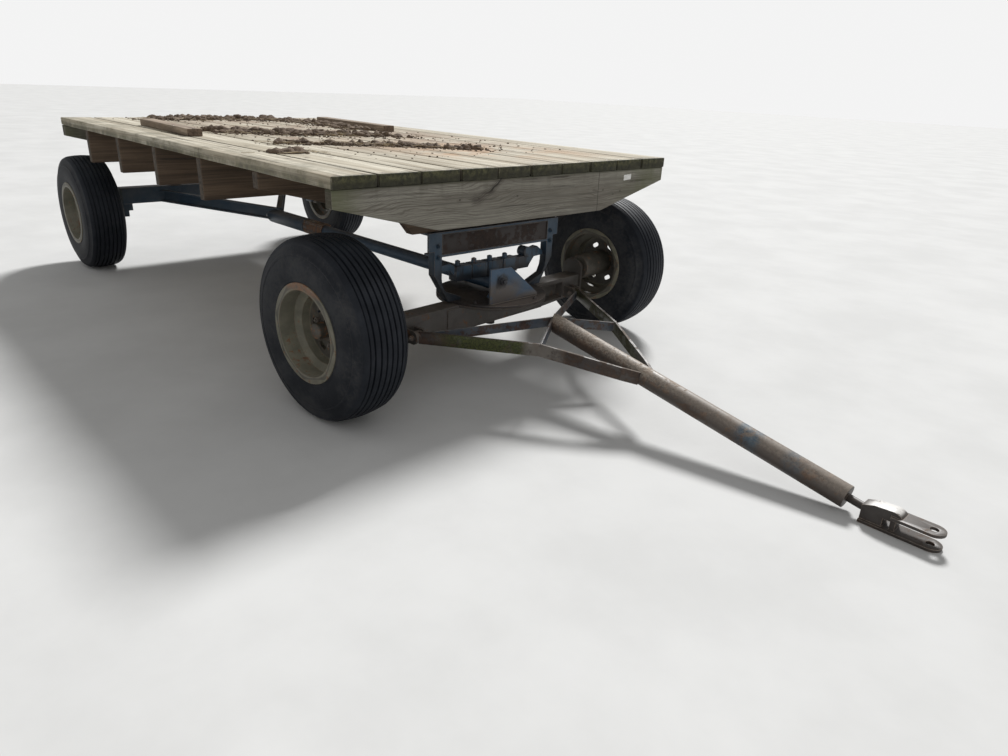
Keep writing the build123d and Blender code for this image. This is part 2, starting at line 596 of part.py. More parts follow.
brace_spread = (HOUND_BEND_LEAD - 6 - CROSSING_LEAD) / (HOUND_BEND_Y - 12)
nose_x = crossing.X + BRACE_THICK / 2 * (1 + brace_spread ** 2) ** 0.5
with BuildPart() as tongue_tube:
    with BuildSketch(Plane(origin=tube_front, z_dir=tube_ahead)):
        Circle(TONGUE_RADIUS)
    extrude(amount=-tube_length)
    with BuildSketch(Plane.XY):
        Polygon(
            (nose_x - 200, -90),
            (nose_x + 90 * brace_spread, -90),
            (nose_x, 0),
            (nose_x + 90 * brace_spread, 90),
            (nose_x - 200, 90),
            align=None,
        )
    extrude(amount=DECK_TOP_Z, mode=Mode.SUBTRACT)
finish(tongue_tube, "tongue_tube")

# Clevis on the tongue's front end: a rod into a humped body, a long lower jaw, a shorter
# upper jaw on a spacer, and an upright pin hole through both jaws
clevis_rear_x = FRONT_AXLE_X + TUBE_FRONT_LEAD + 60
tip_x = FRONT_AXLE_X + TONGUE_REACH
pin_x = tip_x - 38
spacer_x = tip_x - 165
with BuildPart() as clevis:
    for low, rear_x in ((0.0, clevis_rear_x), (CLEVIS_HEIGHT - JAW_THICK, spacer_x)):
        with BuildSketch(Plane.XY.offset(low)):
            with Locations(((rear_x + tip_x - 40) / 2, 0)):
                Rectangle(tip_x - 40 - rear_x, JAW_WIDTH)
            with Locations((tip_x - 40, 0)):
                Circle(40)
            with Locations((pin_x, 0)):
                Circle(CLEVIS_PIN_RADIUS, mode=Mode.SUBTRACT)
        extrude(amount=JAW_THICK)
    with BuildSketch(Plane.XZ):
        with BuildLine():
            Polyline(
                (spacer_x - 24, 0),
                (clevis_rear_x, 0),
                (clevis_rear_x, CLEVIS_HEIGHT - 2),
                (clevis_rear_x + 40, CLEVIS_HEIGHT + 12),
                (spacer_x - 5, CLEVIS_HEIGHT + 16),
            )
            ThreePointArc(
                (spacer_x - 5, CLEVIS_HEIGHT + 16),
                (spacer_x + 28, CLEVIS_HEIGHT + 8),
                (spacer_x + 42, CLEVIS_HEIGHT - JAW_THICK),
            )
            Polyline(
                (spacer_x + 42, CLEVIS_HEIGHT - JAW_THICK),
                (spacer_x + 18, CLEVIS_HEIGHT - JAW_THICK),
                (spacer_x + 18, 0),
                (spacer_x, 0),
                (spacer_x, CLEVIS_HEIGHT - 24),
                (spacer_x - 24, CLEVIS_HEIGHT - 24),
                (spacer_x - 24, 0),
            )
        make_face()
    extrude(amount=28, both=True)
    with BuildSketch(Plane(origin=tube_front, z_dir=tube_ahead)):
        Circle(15)
    extrude(amount=66)
finish(clevis, "clevis")

# Wheels: a tyre and a rim with its disc, hub and cap at each corner
Wheel = namedtuple("Wheel", "name x side hub_inner turn")
wheels = [
    Wheel("front_right", FRONT_AXLE_X, -1, -235, STEER_AT_REST),
    Wheel("front_left", FRONT_AXLE_X, 1, -235, STEER_AT_REST),
    Wheel("rear_right", REAR_AXLE_X, -1, -190, 0.0),
    Wheel("rear_left", REAR_AXLE_X, 1, -190, 0.0),
]
DISC_FACE = 8.0
DISC_THICK = 8.0
CAP_OUTER = 80.0
RIM_SHEET = 7.0
HAND_HOLE_RING = 106.0
tyre_half = TYRE_WIDTH / 2
seat = RIM_WIDTH / 2
well = RIM_WELL_RADIUS
for wheel in wheels:
    wheel_y = wheel.side * WHEEL_TRACK / 2
    centre = (wheel.x, wheel_y, TYRE_RADIUS)
    section = Plane(origin=centre, x_dir=(0, wheel.side, 0), z_dir=(wheel.side, 0, 0))
    axle_line = Axis(centre, (0, 1, 0))
    disc_plane = Plane(origin=centre, z_dir=(0, wheel.side, 0)).offset(DISC_FACE)
    with BuildPart() as tyre:
        with BuildSketch(section):
            with BuildLine():
                Line((-seat, RIM_FLANGE_RADIUS), (-seat, RIM_RADIUS))
                Line((-seat, RIM_RADIUS), (seat, RIM_RADIUS))
                Line((seat, RIM_RADIUS), (seat, RIM_FLANGE_RADIUS))
                for way in (1, -1):
                    ThreePointArc(
                        (way * seat, RIM_FLANGE_RADIUS),
                        (way * (tyre_half - 2), RIM_FLANGE_RADIUS + 34),
                        (way * tyre_half, RIM_FLANGE_RADIUS + 70),
                    )
                    ThreePointArc(
                        (way * tyre_half, RIM_FLANGE_RADIUS + 70),
                        (way * (tyre_half - 9), TYRE_RADIUS - 76),
                        (way * (TREAD_HALF + 26), TYRE_RADIUS - 34),
                    )
                    ThreePointArc(
                        (way * (TREAD_HALF + 26), TYRE_RADIUS - 34),
                        (way * (TREAD_HALF + 16), TYRE_RADIUS - 17),
                        (way * TREAD_HALF, TYRE_RADIUS - 8),
                    )
                ThreePointArc(
                    (TREAD_HALF, TYRE_RADIUS - 8),
                    (0, TYRE_RADIUS),
                    (-TREAD_HALF, TYRE_RADIUS - 8),
                )
            make_face()
        revolve(axis=axle_line)
    finish(tyre, "tyre_" + wheel.name, wheel.turn)

    with BuildPart() as rim:
        with BuildSketch(section):
            Polygon(
                (-seat - 8, RIM_FLANGE_RADIUS),
                (-seat, RIM_FLANGE_RADIUS),
                (-seat, RIM_RADIUS),
                (-seat + 42, RIM_RADIUS),
                (-seat + 60, well),
                (seat - 80, well),
                (seat - 62, RIM_RADIUS),
                (seat, RIM_RADIUS),
                (seat, RIM_FLANGE_RADIUS),
                (seat + 8, RIM_FLANGE_RADIUS),
                (seat + 8, RIM_RADIUS - RIM_SHEET),
                (seat - 65, RIM_RADIUS - RIM_SHEET),
                (seat - 83, well - RIM_SHEET),
                (-seat + 63, well - RIM_SHEET),
                (-seat + 45, RIM_RADIUS - RIM_SHEET),
                (-seat - 8, RIM_RADIUS - RIM_SHEET),
                align=None,
            )
            Polygon(
                (DISC_FACE - 16, well - 4),
                (DISC_FACE - 6, well - 4),
                (DISC_FACE, well - 34),
                (DISC_FACE, 0),
                (DISC_FACE - DISC_THICK, 0),
                (DISC_FACE - DISC_THICK, well - 38),
                align=None,
            )
            Polygon(
                (wheel.hub_inner, 0),
                (wheel.hub_inner, HUB_RADIUS - 8),
                (wheel.hub_inner + 14, HUB_RADIUS),
                (DISC_FACE - DISC_THICK, HUB_RADIUS),
                (DISC_FACE - DISC_THICK, 0),
                align=None,
            )
            Polygon(
                (DISC_FACE, 0),
                (DISC_FACE, HUB_CAP_RADIUS + 8),
                (DISC_FACE + 8, HUB_CAP_RADIUS),
                (CAP_OUTER - 9, HUB_CAP_RADIUS - 2),
                (CAP_OUTER - 2, HUB_CAP_RADIUS - 12),
                (CAP_OUTER, 0),
                align=None,
            )
        revolve(axis=axle_line)
        with BuildSketch(Plane(origin=centre, z_dir=(0, wheel.side, 0)).offset(wheel.hub_inner)):
            Circle(SPINDLE_RADIUS + 1)
        extrude(amount=-wheel.hub_inner + 32, mode=Mode.SUBTRACT)
        with BuildSketch(disc_plane):
            with PolarLocations(HAND_HOLE_RING, 6, 30):
                SlotOverall(44, 24, rotation=90)
        extrude(amount=-3 * DISC_THICK, mode=Mode.SUBTRACT)
    finish(rim, "rim_" + wheel.name, wheel.turn)
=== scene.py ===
# %% [markdown]
# # A farm hay wagon in weathered timber and worn steel
#
# The wagon has a bare plank deck on a four-wheeled steel gear, with a drawbar that
# rests on the ground. The solids of the part are loaded as a fixed frame, and this
# lesson dresses them: each board, tyre and bar gets the surface the real one has.

# %% Load the frame
import json
import math
import bmesh
import bpy
import numpy as np
from mathutils import Matrix, Vector

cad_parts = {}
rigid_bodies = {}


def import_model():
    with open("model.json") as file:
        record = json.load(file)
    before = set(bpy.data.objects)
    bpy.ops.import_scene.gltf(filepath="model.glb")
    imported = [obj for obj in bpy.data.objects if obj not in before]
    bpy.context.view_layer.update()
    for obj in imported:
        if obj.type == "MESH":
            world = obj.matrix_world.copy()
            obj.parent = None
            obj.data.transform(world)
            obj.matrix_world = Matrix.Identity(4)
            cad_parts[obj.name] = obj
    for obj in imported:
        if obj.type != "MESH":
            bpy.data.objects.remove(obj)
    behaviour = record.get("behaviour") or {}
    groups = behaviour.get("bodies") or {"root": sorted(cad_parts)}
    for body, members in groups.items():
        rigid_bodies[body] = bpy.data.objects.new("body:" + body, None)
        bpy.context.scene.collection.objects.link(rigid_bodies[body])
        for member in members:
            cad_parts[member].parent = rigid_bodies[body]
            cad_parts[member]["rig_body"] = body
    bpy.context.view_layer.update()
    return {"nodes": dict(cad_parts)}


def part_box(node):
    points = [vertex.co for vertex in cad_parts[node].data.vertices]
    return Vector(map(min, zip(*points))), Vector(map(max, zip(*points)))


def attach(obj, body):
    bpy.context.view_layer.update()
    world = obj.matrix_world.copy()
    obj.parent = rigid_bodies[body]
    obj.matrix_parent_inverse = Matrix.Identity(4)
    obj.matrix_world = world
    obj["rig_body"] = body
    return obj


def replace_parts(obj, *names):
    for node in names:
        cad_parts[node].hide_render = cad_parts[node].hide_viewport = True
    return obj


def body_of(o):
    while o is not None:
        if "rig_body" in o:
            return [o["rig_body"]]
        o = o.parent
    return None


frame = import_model()

# %% [markdown]
# ## Places that the pieces share
#
# The front axle stands turned a little about its kingpin, as the wagon was parked,
# so everything on it is set out from two directions: ahead along the tongue, and
# across along the axle. Each wheel is a centre and an outward axle direction. The deck
# is a row of boards nailed to a row of cross members, so two first places and two
# pitches are enough to find any nail.

# %% Shared places
FRONT_X = 0.693
REAR_X = -2.547
WHEEL_Z = 0.396
WHEEL_OUT = 0.997
TURN = math.radians(4.5)
AHEAD = np.array([math.cos(TURN), math.sin(TURN), 0.0])
ACROSS = np.array([-math.sin(TURN), math.cos(TURN), 0.0])
UP = np.array([0.0, 0.0, 1.0])
KINGPIN = np.array([FRONT_X, 0.0, 0.0])
LEFTWARD = np.array([0.0, 1.0, 0.0])
REAR_MIDDLE = np.array([REAR_X, 0.0, 0.0])
RISE = WHEEL_Z * UP

DECK_TOP = 1.036
DECK_HALF = 1.048
HEADER_FACE = 0.914
BOARD_PITCH = 0.21455
FIRST_BOARD = -0.9405
JOIST_LINE = 0.2795
JOIST_PITCH = 0.61
NAIL_SIDE = 0.06

WHEELS = {
    "front_right": (KINGPIN - WHEEL_OUT * ACROSS + RISE, -ACROSS),
    "front_left": (KINGPIN + WHEEL_OUT * ACROSS + RISE, ACROSS),
    "rear_right": (REAR_MIDDLE - WHEEL_OUT * LEFTWARD + RISE, -LEFTWARD),
    "rear_left": (REAR_MIDDLE + WHEEL_OUT * LEFTWARD + RISE, LEFTWARD),
}


def on_axle(lead, across, z):
    """A point of the turned front axle: the kingpin's foot, plus lead ahead, plus across, plus z."""
    return KINGPIN + lead * AHEAD + across * ACROSS + z * UP


for name, (centre, out) in WHEELS.items():
    print(name, centre.round(3), out.round(3))

# %% [markdown]
# ## Surfaces from arrays
#
# A new piece is a grid of points. Rows follow one parameter, columns the other, and
# neighbouring points are joined by quads. Where the grid closes on itself the last
# row or column is joined to the first, and open ends are closed by one flat face.
# The signed volume tells whether the faces point outward, and turns them if not.

# %% Grid surfaces


def around(count):
    """Angles of count points spread evenly round a circle."""
    return np.linspace(0, 2 * np.pi, count, endpoint=False)


def turned(heights, radii, steps):
    """Rings about z, one for each height; radii has one column for each step, or one for all."""
    a = around(steps)
    return np.stack([radii * np.cos(a), radii * np.sin(a), np.repeat(heights[:, None], steps, 1)], -1)


def grid_faces(rows, cols, start=0):
    """Quads of a rows by cols grid whose columns close on themselves."""
    i, j = np.meshgrid(np.arange(rows - 1), np.arange(cols), indexing="ij")
    k = (j + 1) % cols
    quads = np.stack([i * cols + j, i * cols + k, (i + 1) * cols + k, (i + 1) * cols + j], -1)
    return quads.reshape(-1, 4) + start


def volume(points, faces):
    """Signed volume of a closed mesh of quads: the sum of the tetrahedra on the origin."""
    a, b, c, d = (points[faces[:, n]] for n in range(4))
    return (np.einsum("ij,ij->i", a, np.cross(b, c)) + np.einsum("ij,ij->i", a, np.cross(c, d))).sum() / 6


def make_object(name, points, faces, material, body, sharp):
    """Links a mesh object at the origin, smooth but for edges sharper than the given angle."""
    mesh = bpy.data.meshes.new(name)
    mesh.from_pydata(points.tolist(), [], faces)
    mesh.materials.append(material)
    mesh.polygons.foreach_set("use_smooth", np.ones(len(mesh.polygons), bool))
    mesh.update()
    mesh.set_sharp_from_angle(angle=math.radians(sharp))
    obj = bpy.data.objects.new(name, mesh)
    bpy.context.scene.collection.objects.link(obj)
    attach(obj, body)
    return obj


def closed_tubes(name, grids, material, body, sharp):
    """One object from several grids of shape (rows, columns, 3), their ends closed by flat faces."""
    points = []
    faces = []
    start = 0
    for grid in grids:
        rows, cols = grid.shape[:2]
        flat = grid.reshape(-1, 3)
        middle = flat.mean(0)
        quads = grid_faces(rows, cols)
        first = np.arange(cols)[::-1]
        last = np.arange(cols) + (rows - 1) * cols
        if volume(flat - middle, quads) < 0:
            quads = quads[:, ::-1]
            first = first[::-1]
            last = last[::-1]
        points.append(flat)
        faces.extend((quads + start).tolist())
        faces.append((first + start).tolist())
        faces.append((last + start).tolist())
        start += len(flat)
    return make_object(name, np.concatenate(points), faces, material, body, sharp)


def ring(name, profile, centre, axis, material, body, steps, sharp):
    """Turns a closed profile of (distance along the axis, radius) points about the axis."""
    a = around(steps)
    side = np.cross(axis, UP)
    side = side / np.linalg.norm(side)
    over = np.cross(side, axis)
    spoke = np.cos(a)[:, None] * side + np.sin(a)[:, None] * over
    u = profile[:, 0]
    r = profile[:, 1]
    grid = centre + u[None, :, None] * axis + r[None, :, None] * spoke[:, None, :]
    points = grid.reshape(-1, 3)
    wrapped = np.concatenate([grid, grid[:1]])
    quads = grid_faces(wrapped.shape[0], wrapped.shape[1]) % len(points)
    if volume(points - points.mean(0), quads) < 0:
        quads = quads[:, ::-1]
    return make_object(name, points, quads.tolist(), material, body, sharp)


print("surface helpers ready")

# %% [markdown]
# ## Finishes from nodes
#
# Every finish is worked out from the place in space, so it has the same scale on each
# piece and needs no picture. A small helper keeps the node code short: it makes noise,
# moves values between ranges, mixes colours and turns heights into bumps.

# %% Node helper


class Finish:
    """Builds one material; each method adds nodes and returns the socket that the next step reads."""

    def __init__(self, name):
        """A new material, with the place in space and the face's direction ready to read."""
        self.material = bpy.data.materials.new(name)
        self.material.use_nodes = True
        self.tree = self.material.node_tree
        self.shader = self.tree.nodes["Principled BSDF"]
        self.place = self.add("ShaderNodeTexCoord").outputs["Object"]
        self.normal = self.add("ShaderNodeNewGeometry").outputs["Normal"]

    def add(self, kind):
        """A new node of one kind."""
        return self.tree.nodes.new(kind)

    def feed(self, socket, value):
        """Links a socket, or sets a number or colour."""
        if isinstance(value, bpy.types.NodeSocket):
            self.tree.links.new(value, socket)
        elif isinstance(value, (tuple, list)) and len(value) == 3 and len(socket.default_value) == 4:
            socket.default_value = (*value, 1.0)
        else:
            socket.default_value = value

    def stretched(self, scale, turn=(0, 0, 0)):
        """The place in space, turned and stretched, for grain that runs one way."""
        node = self.add("ShaderNodeMapping")
        self.feed(node.inputs["Vector"], self.place)
        node.inputs["Scale"].default_value = scale
        node.inputs["Rotation"].default_value = turn
        return node.outputs["Vector"]

    def noise(self, scale, detail=4.0, rough=0.55, where=None, bend=0.0):
        """Cloudy noise from 0 to 1, with about scale clouds to the metre."""
        node = self.add("ShaderNodeTexNoise")
        self.feed(node.inputs["Vector"], self.place if where is None else where)
        node.inputs["Scale"].default_value = scale
        node.inputs["Detail"].default_value = detail
        node.inputs["Roughness"].default_value = rough
        node.inputs["Distortion"].default_value = bend
        return node.outputs["Fac"]

    def attribute(self, name):
        """The number that an attribute of the mesh holds here."""
        node = self.add("ShaderNodeAttribute")
        node.attribute_name = name
        return node.outputs["Fac"]

    def axes(self, vector):
        """The x, y and z of a vector."""
        node = self.add("ShaderNodeSeparateXYZ")
        self.feed(node.inputs[0], vector)
        return node.outputs

    def math(self, how, a, b=0.0):
        """One step of arithmetic on one or two values."""
        node = self.add("ShaderNodeMath")
        node.operation = how
        self.feed(node.inputs[0], a)
        self.feed(node.inputs[1], b)
        return node.outputs[0]

    def plus(self, a, b):
        """The sum of two values."""
        return self.math("ADD", a, b)

    def minus(self, a, b):
        """The first value less the second."""
        return self.math("SUBTRACT", a, b)

    def most(self, a, b):
        """The greater of two values."""
        return self.math("MAXIMUM", a, b)

    def size(self, a):
        """A value without its sign."""
        return self.math("ABSOLUTE", a)

    def times(self, product, *others):
        """The product of its values."""
        for other in others:
            product = self.math("MULTIPLY", product, other)
        return product

    def apart(self, a, b):
        """The length of the vector (a, b): the root of a squared plus b squared."""
        return self.math("SQRT", self.plus(self.times(a, a), self.times(b, b)))

    def span(self, value, low, high, to_low=0.0, to_high=1.0):
        """A smooth step from to_low at low to to_high at high."""
        node = self.add("ShaderNodeMapRange")
        node.interpolation_type = "SMOOTHSTEP"
        self.feed(node.inputs["Value"], value)
        node.inputs["From Min"].default_value = low
        node.inputs["From Max"].default_value = high
        node.inputs["To Min"].default_value = to_low
        node.inputs["To Max"].default_value = to_high
        return node.outputs["Result"]

    def band(self, value, start, full, fade, stop):
        """Rises from 0 at start to 1 at full, and falls from 1 at fade to 0 at stop."""
        return self.times(self.span(value, start, full), self.span(value, stop, fade))

    def mix(self, share, a, b):
        """Colour a where share is 0, colour b where it is 1."""
        node = self.add("ShaderNodeMix")
        node.data_type = "RGBA"
        self.feed(node.inputs["Factor"], share)
        self.feed(node.inputs["A"], a)
        self.feed(node.inputs["B"], b)
        return node.outputs["Result"]

    def stain(self, colour, tint, *shares):
        """Lays a tint over a colour, as strongly as the product of the shares."""
        return self.mix(self.times(*shares), colour, tint)

    def bump(self, height, depth, under=None):
        """Adds a height, in metres of depth, over an earlier bump."""
        node = self.add("ShaderNodeBump")
        node.inputs["Strength"].default_value = 1.0
        node.inputs["Distance"].default_value = depth
        self.feed(node.inputs["Height"], height)
        if under is not None:
            self.feed(node.inputs["Normal"], under)
        return node.outputs["Normal"]

    def finish(self, colour, rough, normal=None):
        """Feeds the shader and hands back the material."""
        self.feed(self.shader.inputs["Base Color"], colour)
        self.feed(self.shader.inputs["Roughness"], rough)
        if normal is not None:
            self.feed(self.shader.inputs["Normal"], normal)
        return self.material


def scaled(values, amount):
    """Three numbers, such as a colour, each times the same amount."""
    return tuple(amount * v for v in values)


print("node helper ready")

# %% [markdown]
# ## Weathered timber
#
# Softwood that stands outdoors turns grey where the sun reaches it, and its hard late
# wood stays up while the soft early wood wears away. So the grain is drawn twice, as
# colour and as height: long streaks along the stick, finer ones within them, and dark
# checks that open along the grain. Cut ends are darker, because they soak up water.
# A chance number for each board's strip of the deck keeps the boards apart in tone.

# %% Timber recipe


def timber_finish(name, run, pale, deep, end, extra=None, knots=()):
    """
    Timber whose grain runs along axis run, 0 for x and 1 for y, in colours from deep to
    pale, with cut ends of colour end. extra adds layers of its own, stains and on the deck
    painted shade, and a knot is (y, z, reach, how many times it is wider than high).
    """
    f = Finish(name)
    coarse = (0.7, 16.0, 16.0) if run == 0 else (16.0, 0.7, 16.0)
    fine = (1.5, 90.0, 90.0) if run == 0 else (90.0, 1.5, 90.0)
    broad = f.noise(1.0, 3.0, 0.5, f.stretched(coarse), 1.2)
    streak = f.noise(1.0, 5.0, 0.62, f.stretched(fine), 0.6)
    hair = f.noise(1.0, 3.0, 0.7, f.stretched(scaled(fine, 3.2)), 0.3)
    axes = f.axes(f.place)
    colour = f.mix(f.span(broad, 0.32, 0.68), deep, pale)
    colour = f.stain(colour, scaled(deep, 0.55), f.span(streak, 0.45, 0.62), 0.60)
    colour = f.stain(colour, scaled(deep, 0.42), f.span(hair, 0.5, 0.66), 0.40)
    blotch = f.span(f.noise(2.3, 4.0, 0.6), 0.45, 0.75)
    colour = f.stain(colour, scaled(pale, 0.8), blotch, 0.30)
    if run == 0:
        lot = f.add("ShaderNodeTexWhiteNoise")
        lot.noise_dimensions = "1D"
        strip = f.math("DIVIDE", f.plus(axes[1], DECK_HALF), BOARD_PITCH)
        f.feed(lot.inputs["W"], f.math("FLOOR", strip))
        colour = f.stain(colour, scaled(deep, 0.70), lot.outputs["Value"], 0.22)
    for along, z, reach, flat in knots:
        sway = f.times(f.minus(f.noise(9.0, 3.0), 0.5), 0.5 * reach)
        far = f.apart(f.minus(axes[1], along), f.times(f.minus(axes[2], z), flat))
        far = f.plus(far, sway)
        near = f.span(far, reach, 0.35 * reach)
        rings = f.span(f.math("SINE", f.times(far, 420.0)), -0.2, 1.0, 0.15, 0.65)
        colour = f.stain(colour, scaled(deep, 0.45), near, rings)
        heart = f.span(far, 0.30 * reach, 0.12 * reach, 0.0, 0.7)
        colour = f.mix(heart, colour, (0.03, 0.022, 0.016))
    check = f.noise(1.0, 2.0, 0.4, f.stretched(scaled(fine, 0.45)), 0.2)
    crack = f.times(f.span(check, 0.66, 0.70), f.span(f.noise(3.1), 0.45, 0.6))
    colour = f.stain(colour, (0.035, 0.028, 0.022), crack, 0.75)
    cut = f.span(f.size(f.axes(f.normal)[run]), 0.75, 0.95)
    colour = f.mix(cut, colour, f.mix(f.span(f.noise(60.0), 0.35, 0.7), end, scaled(end, 0.5)))
    if extra is not None:
        colour = extra(f, colour, axes)
    height = f.plus(f.times(streak, 0.7), f.times(hair, 0.3))
    normal = f.bump(f.times(crack, -1.0), 0.004, f.bump(height, 0.0016))
    return f.finish(colour, f.span(streak, 0.3, 0.8, 0.92, 0.72), normal)


print("timber recipe ready")

# %% [markdown]
# ## What lies on the boards
#
# The bleached deck is coloured in an order: the gaps between boards get painted shade, tannin
# has run out orange near the front, mud was trodden in towards the rear, each nail
# bleeds rust, and moss grows along the shaded right edge and over the front ends. Each
# layer is a function from a colour to a colour, limited to its place by smooth steps.

# %% Deck layers


def shaded_gaps(f, colour, axes):
    """The boards' inner sides, which see no sun, are dark."""
    sideways = f.span(f.size(f.axes(f.normal)[1]), 0.6, 0.9)
    inside = f.span(f.size(axes[1]), DECK_HALF - 0.012, DECK_HALF - 0.018)
    return f.stain(colour, (0.045, 0.038, 0.028), sideways, inside, 0.85)


def tannin_and_mud(f, colour, axes):
    """Orange tannin near the front left, and trodden mud over the rear half."""
    tan = f.times(f.band(axes[0], -0.9, 0.1, 0.45, 0.9), f.band(axes[1], -0.35, 0.0, 0.6, 1.0))
    patch = f.span(f.noise(3.2, 4.0, 0.6), 0.40, 0.62, 0.0, 0.75)
    colour = f.stain(colour, (0.44, 0.27, 0.15), tan, patch)
    mud = f.times(f.band(axes[0], -2.9, -2.5, -0.3, 0.4), f.band(axes[1], -0.65, -0.3, 0.75, 0.95))
    patch = f.span(f.noise(5.5, 6.0, 0.7), 0.38, 0.60, 0.0, 0.70)
    return f.stain(colour, (0.27, 0.185, 0.125), mud, patch)


def from_nearest(f, value, first, pitch):
    """How far a value is from the nearest of a row of places, first plus any number of pitches."""
    count = f.plus(f.math("DIVIDE", f.minus(value, first), pitch), 20.5)
    return f.times(f.minus(f.math("FRACT", count), 0.5), pitch)


def nail_rust(f, colour, axes):
    """A rust stain round each nail, twice as long as it is wide."""
    x = from_nearest(f, axes[0], JOIST_LINE, JOIST_PITCH)
    y = f.minus(f.size(from_nearest(f, axes[1], FIRST_BOARD, BOARD_PITCH)), NAIL_SIDE)
    return f.mix(f.span(f.apart(f.times(x, 0.5), y), 0.020, 0.004, 0.0, 0.55), colour, (0.10, 0.07, 0.05))


def edge_moss(f, colour, axes):
    """Moss on the right edge and the front ends, whose lower halves are dark with damp."""
    patch = f.noise(7.0, 5.0, 0.65)
    fleck = f.noise(38.0, 4.0, 0.6)
    top = f.most(f.times(f.span(axes[1], -0.78, -1.03), 0.6), f.times(f.span(axes[0], 0.80, 0.925), 0.75))
    top = f.times(top, f.span(patch, 0.40, 0.66), f.span(fleck, 0.30, 0.60, 0.45, 1.0))
    flank = f.times(f.span(axes[1], -1.037, -1.041), f.span(axes[2], 1.030, 1.000, 0.12, 0.75))
    face = f.span(axes[0], 0.906, 0.914)
    side = f.times(f.most(flank, face), f.span(patch, 0.30, 0.55, 0.40, 1.0))
    green = f.mix(f.span(fleck, 0.35, 0.7), (0.026, 0.026, 0.012), (0.098, 0.094, 0.044))
    colour = f.mix(f.most(top, side), colour, green)
    spots = f.span(f.noise(130.0, 4.0, 0.7), 0.48, 0.62, 0.0, 0.6)
    damp = f.most(f.span(axes[2], 1.020, 1.000, 0.0, 0.7), spots)
    return f.stain(colour, (0.022, 0.021, 0.012), face, damp)


def deck_stains_and_gap_shade(f, colour, axes):
    """All the deck's layers, in the order in which they came."""
    for layer in (shaded_gaps, tannin_and_mud, nail_rust, edge_moss):
        colour = layer(f, colour, axes)
    return colour


print("deck layers ready")

# %% [markdown]
# ## What shows on the headers
#
# The front header is a plain-sawn plank: its growth lines run along it and part round
# each knot, as water parts round a stone. The sine of a height gives even lines, and
# bending that height before the sine is taken bends the lines. One split runs down the
# front header, and a dark slanting streak marks its largest knot.

# %% Header layers
HEADER_EYES = ((-0.729, 0.875, 0.085, 0.85), (-0.245, 0.925, 0.10, 0.75), (-0.41, 0.906, 0.035, 0.6),
               (0.573, 0.889, 0.05, 0.7), (0.719, 0.874, 0.05, 0.7), (-0.058, 0.90, 0.03, 0.6))
HEADER_KNOTS = ((-0.41, 0.906, 0.022, 1.6), (-0.058, 0.90, 0.016, 1.5), (0.719, 0.874, 0.022, 1.4),
                (0.573, 0.889, 0.014, 1.4), (-0.30, 0.905, 0.020, 1.5), (0.66, 0.862, 0.012, 1.5))
SPLIT_Y = 0.533
STREAK_Y = -0.235
STREAK_Z = 0.932


def header_figure(f, colour, axes):
    """
    Growth lines: sin of 520 z', where z' is z swayed by stretched noise and, round each
    eye at (y0, z0), drawn apart by z - z0 times an amount times exp(-(r / reach) squared).
    """
    y, z = axes[1], axes[2]
    slow = f.noise(1.0, 3.0, 0.5, f.stretched((1.0, 1.5, 6.0)))
    quick = f.noise(1.0, 4.0, 0.6, f.stretched((1.0, 9.0, 34.0)))
    level = f.plus(z, f.times(f.minus(slow, 0.5), 0.11))
    level = f.plus(level, f.times(f.minus(quick, 0.5), 0.012))
    for along, height, reach, amount in HEADER_EYES:
        a = f.times(f.minus(y, along), 0.6)
        b = f.minus(z, height)
        far = f.plus(f.times(a, a), f.times(b, b))
        swell = f.math("EXPONENT", f.times(far, -1.0 / reach ** 2))
        level = f.minus(level, f.times(b, amount, swell))
    strength = f.noise(1.0, 3.0, 0.6, f.stretched((1.0, 3.0, 26.0), (0.3, 0.1, 0.0)))
    broad = f.span(f.math("SINE", f.times(level, 520.0)), 0.1, 0.95)
    thin = f.span(f.math("SINE", f.times(level, 1370.0)), 0.2, 0.9)
    colour = f.stain(colour, (0.085, 0.072, 0.056), broad, f.span(strength, 0.35, 0.62), 0.55)
    return f.stain(colour, (0.070, 0.060, 0.047), thin, f.span(quick, 0.40, 0.60), 0.42)


def header_stains(f, colour, axes):
    """Green algae towards both ends, and dark runs and a dark line below the boards."""
    ends = f.most(f.span(axes[1], -0.86, -1.04), f.span(axes[1], 0.60, 1.0))
    ends = f.times(ends, f.span(f.size(f.axes(f.normal)[1]), 0.9, 0.5, 0.15, 1.0))
    patch = f.span(f.noise(5.0, 5.0, 0.62), 0.3, 0.6)
    colour = f.stain(colour, (0.105, 0.112, 0.055), ends, patch, 0.75)
    drip = f.span(f.noise(1.0, 4.0, 0.6, f.stretched((22.0, 22.0, 1.2))), 0.5, 0.7)
    colour = f.stain(colour, (0.06, 0.055, 0.036), drip, f.span(axes[2], 0.90, 0.99), 0.32)
    below = f.span(axes[2], 0.99, 0.955)
    return f.mix(f.span(below, 0.5, 0.0, 0.0, 0.6), colour, (0.045, 0.05, 0.022))


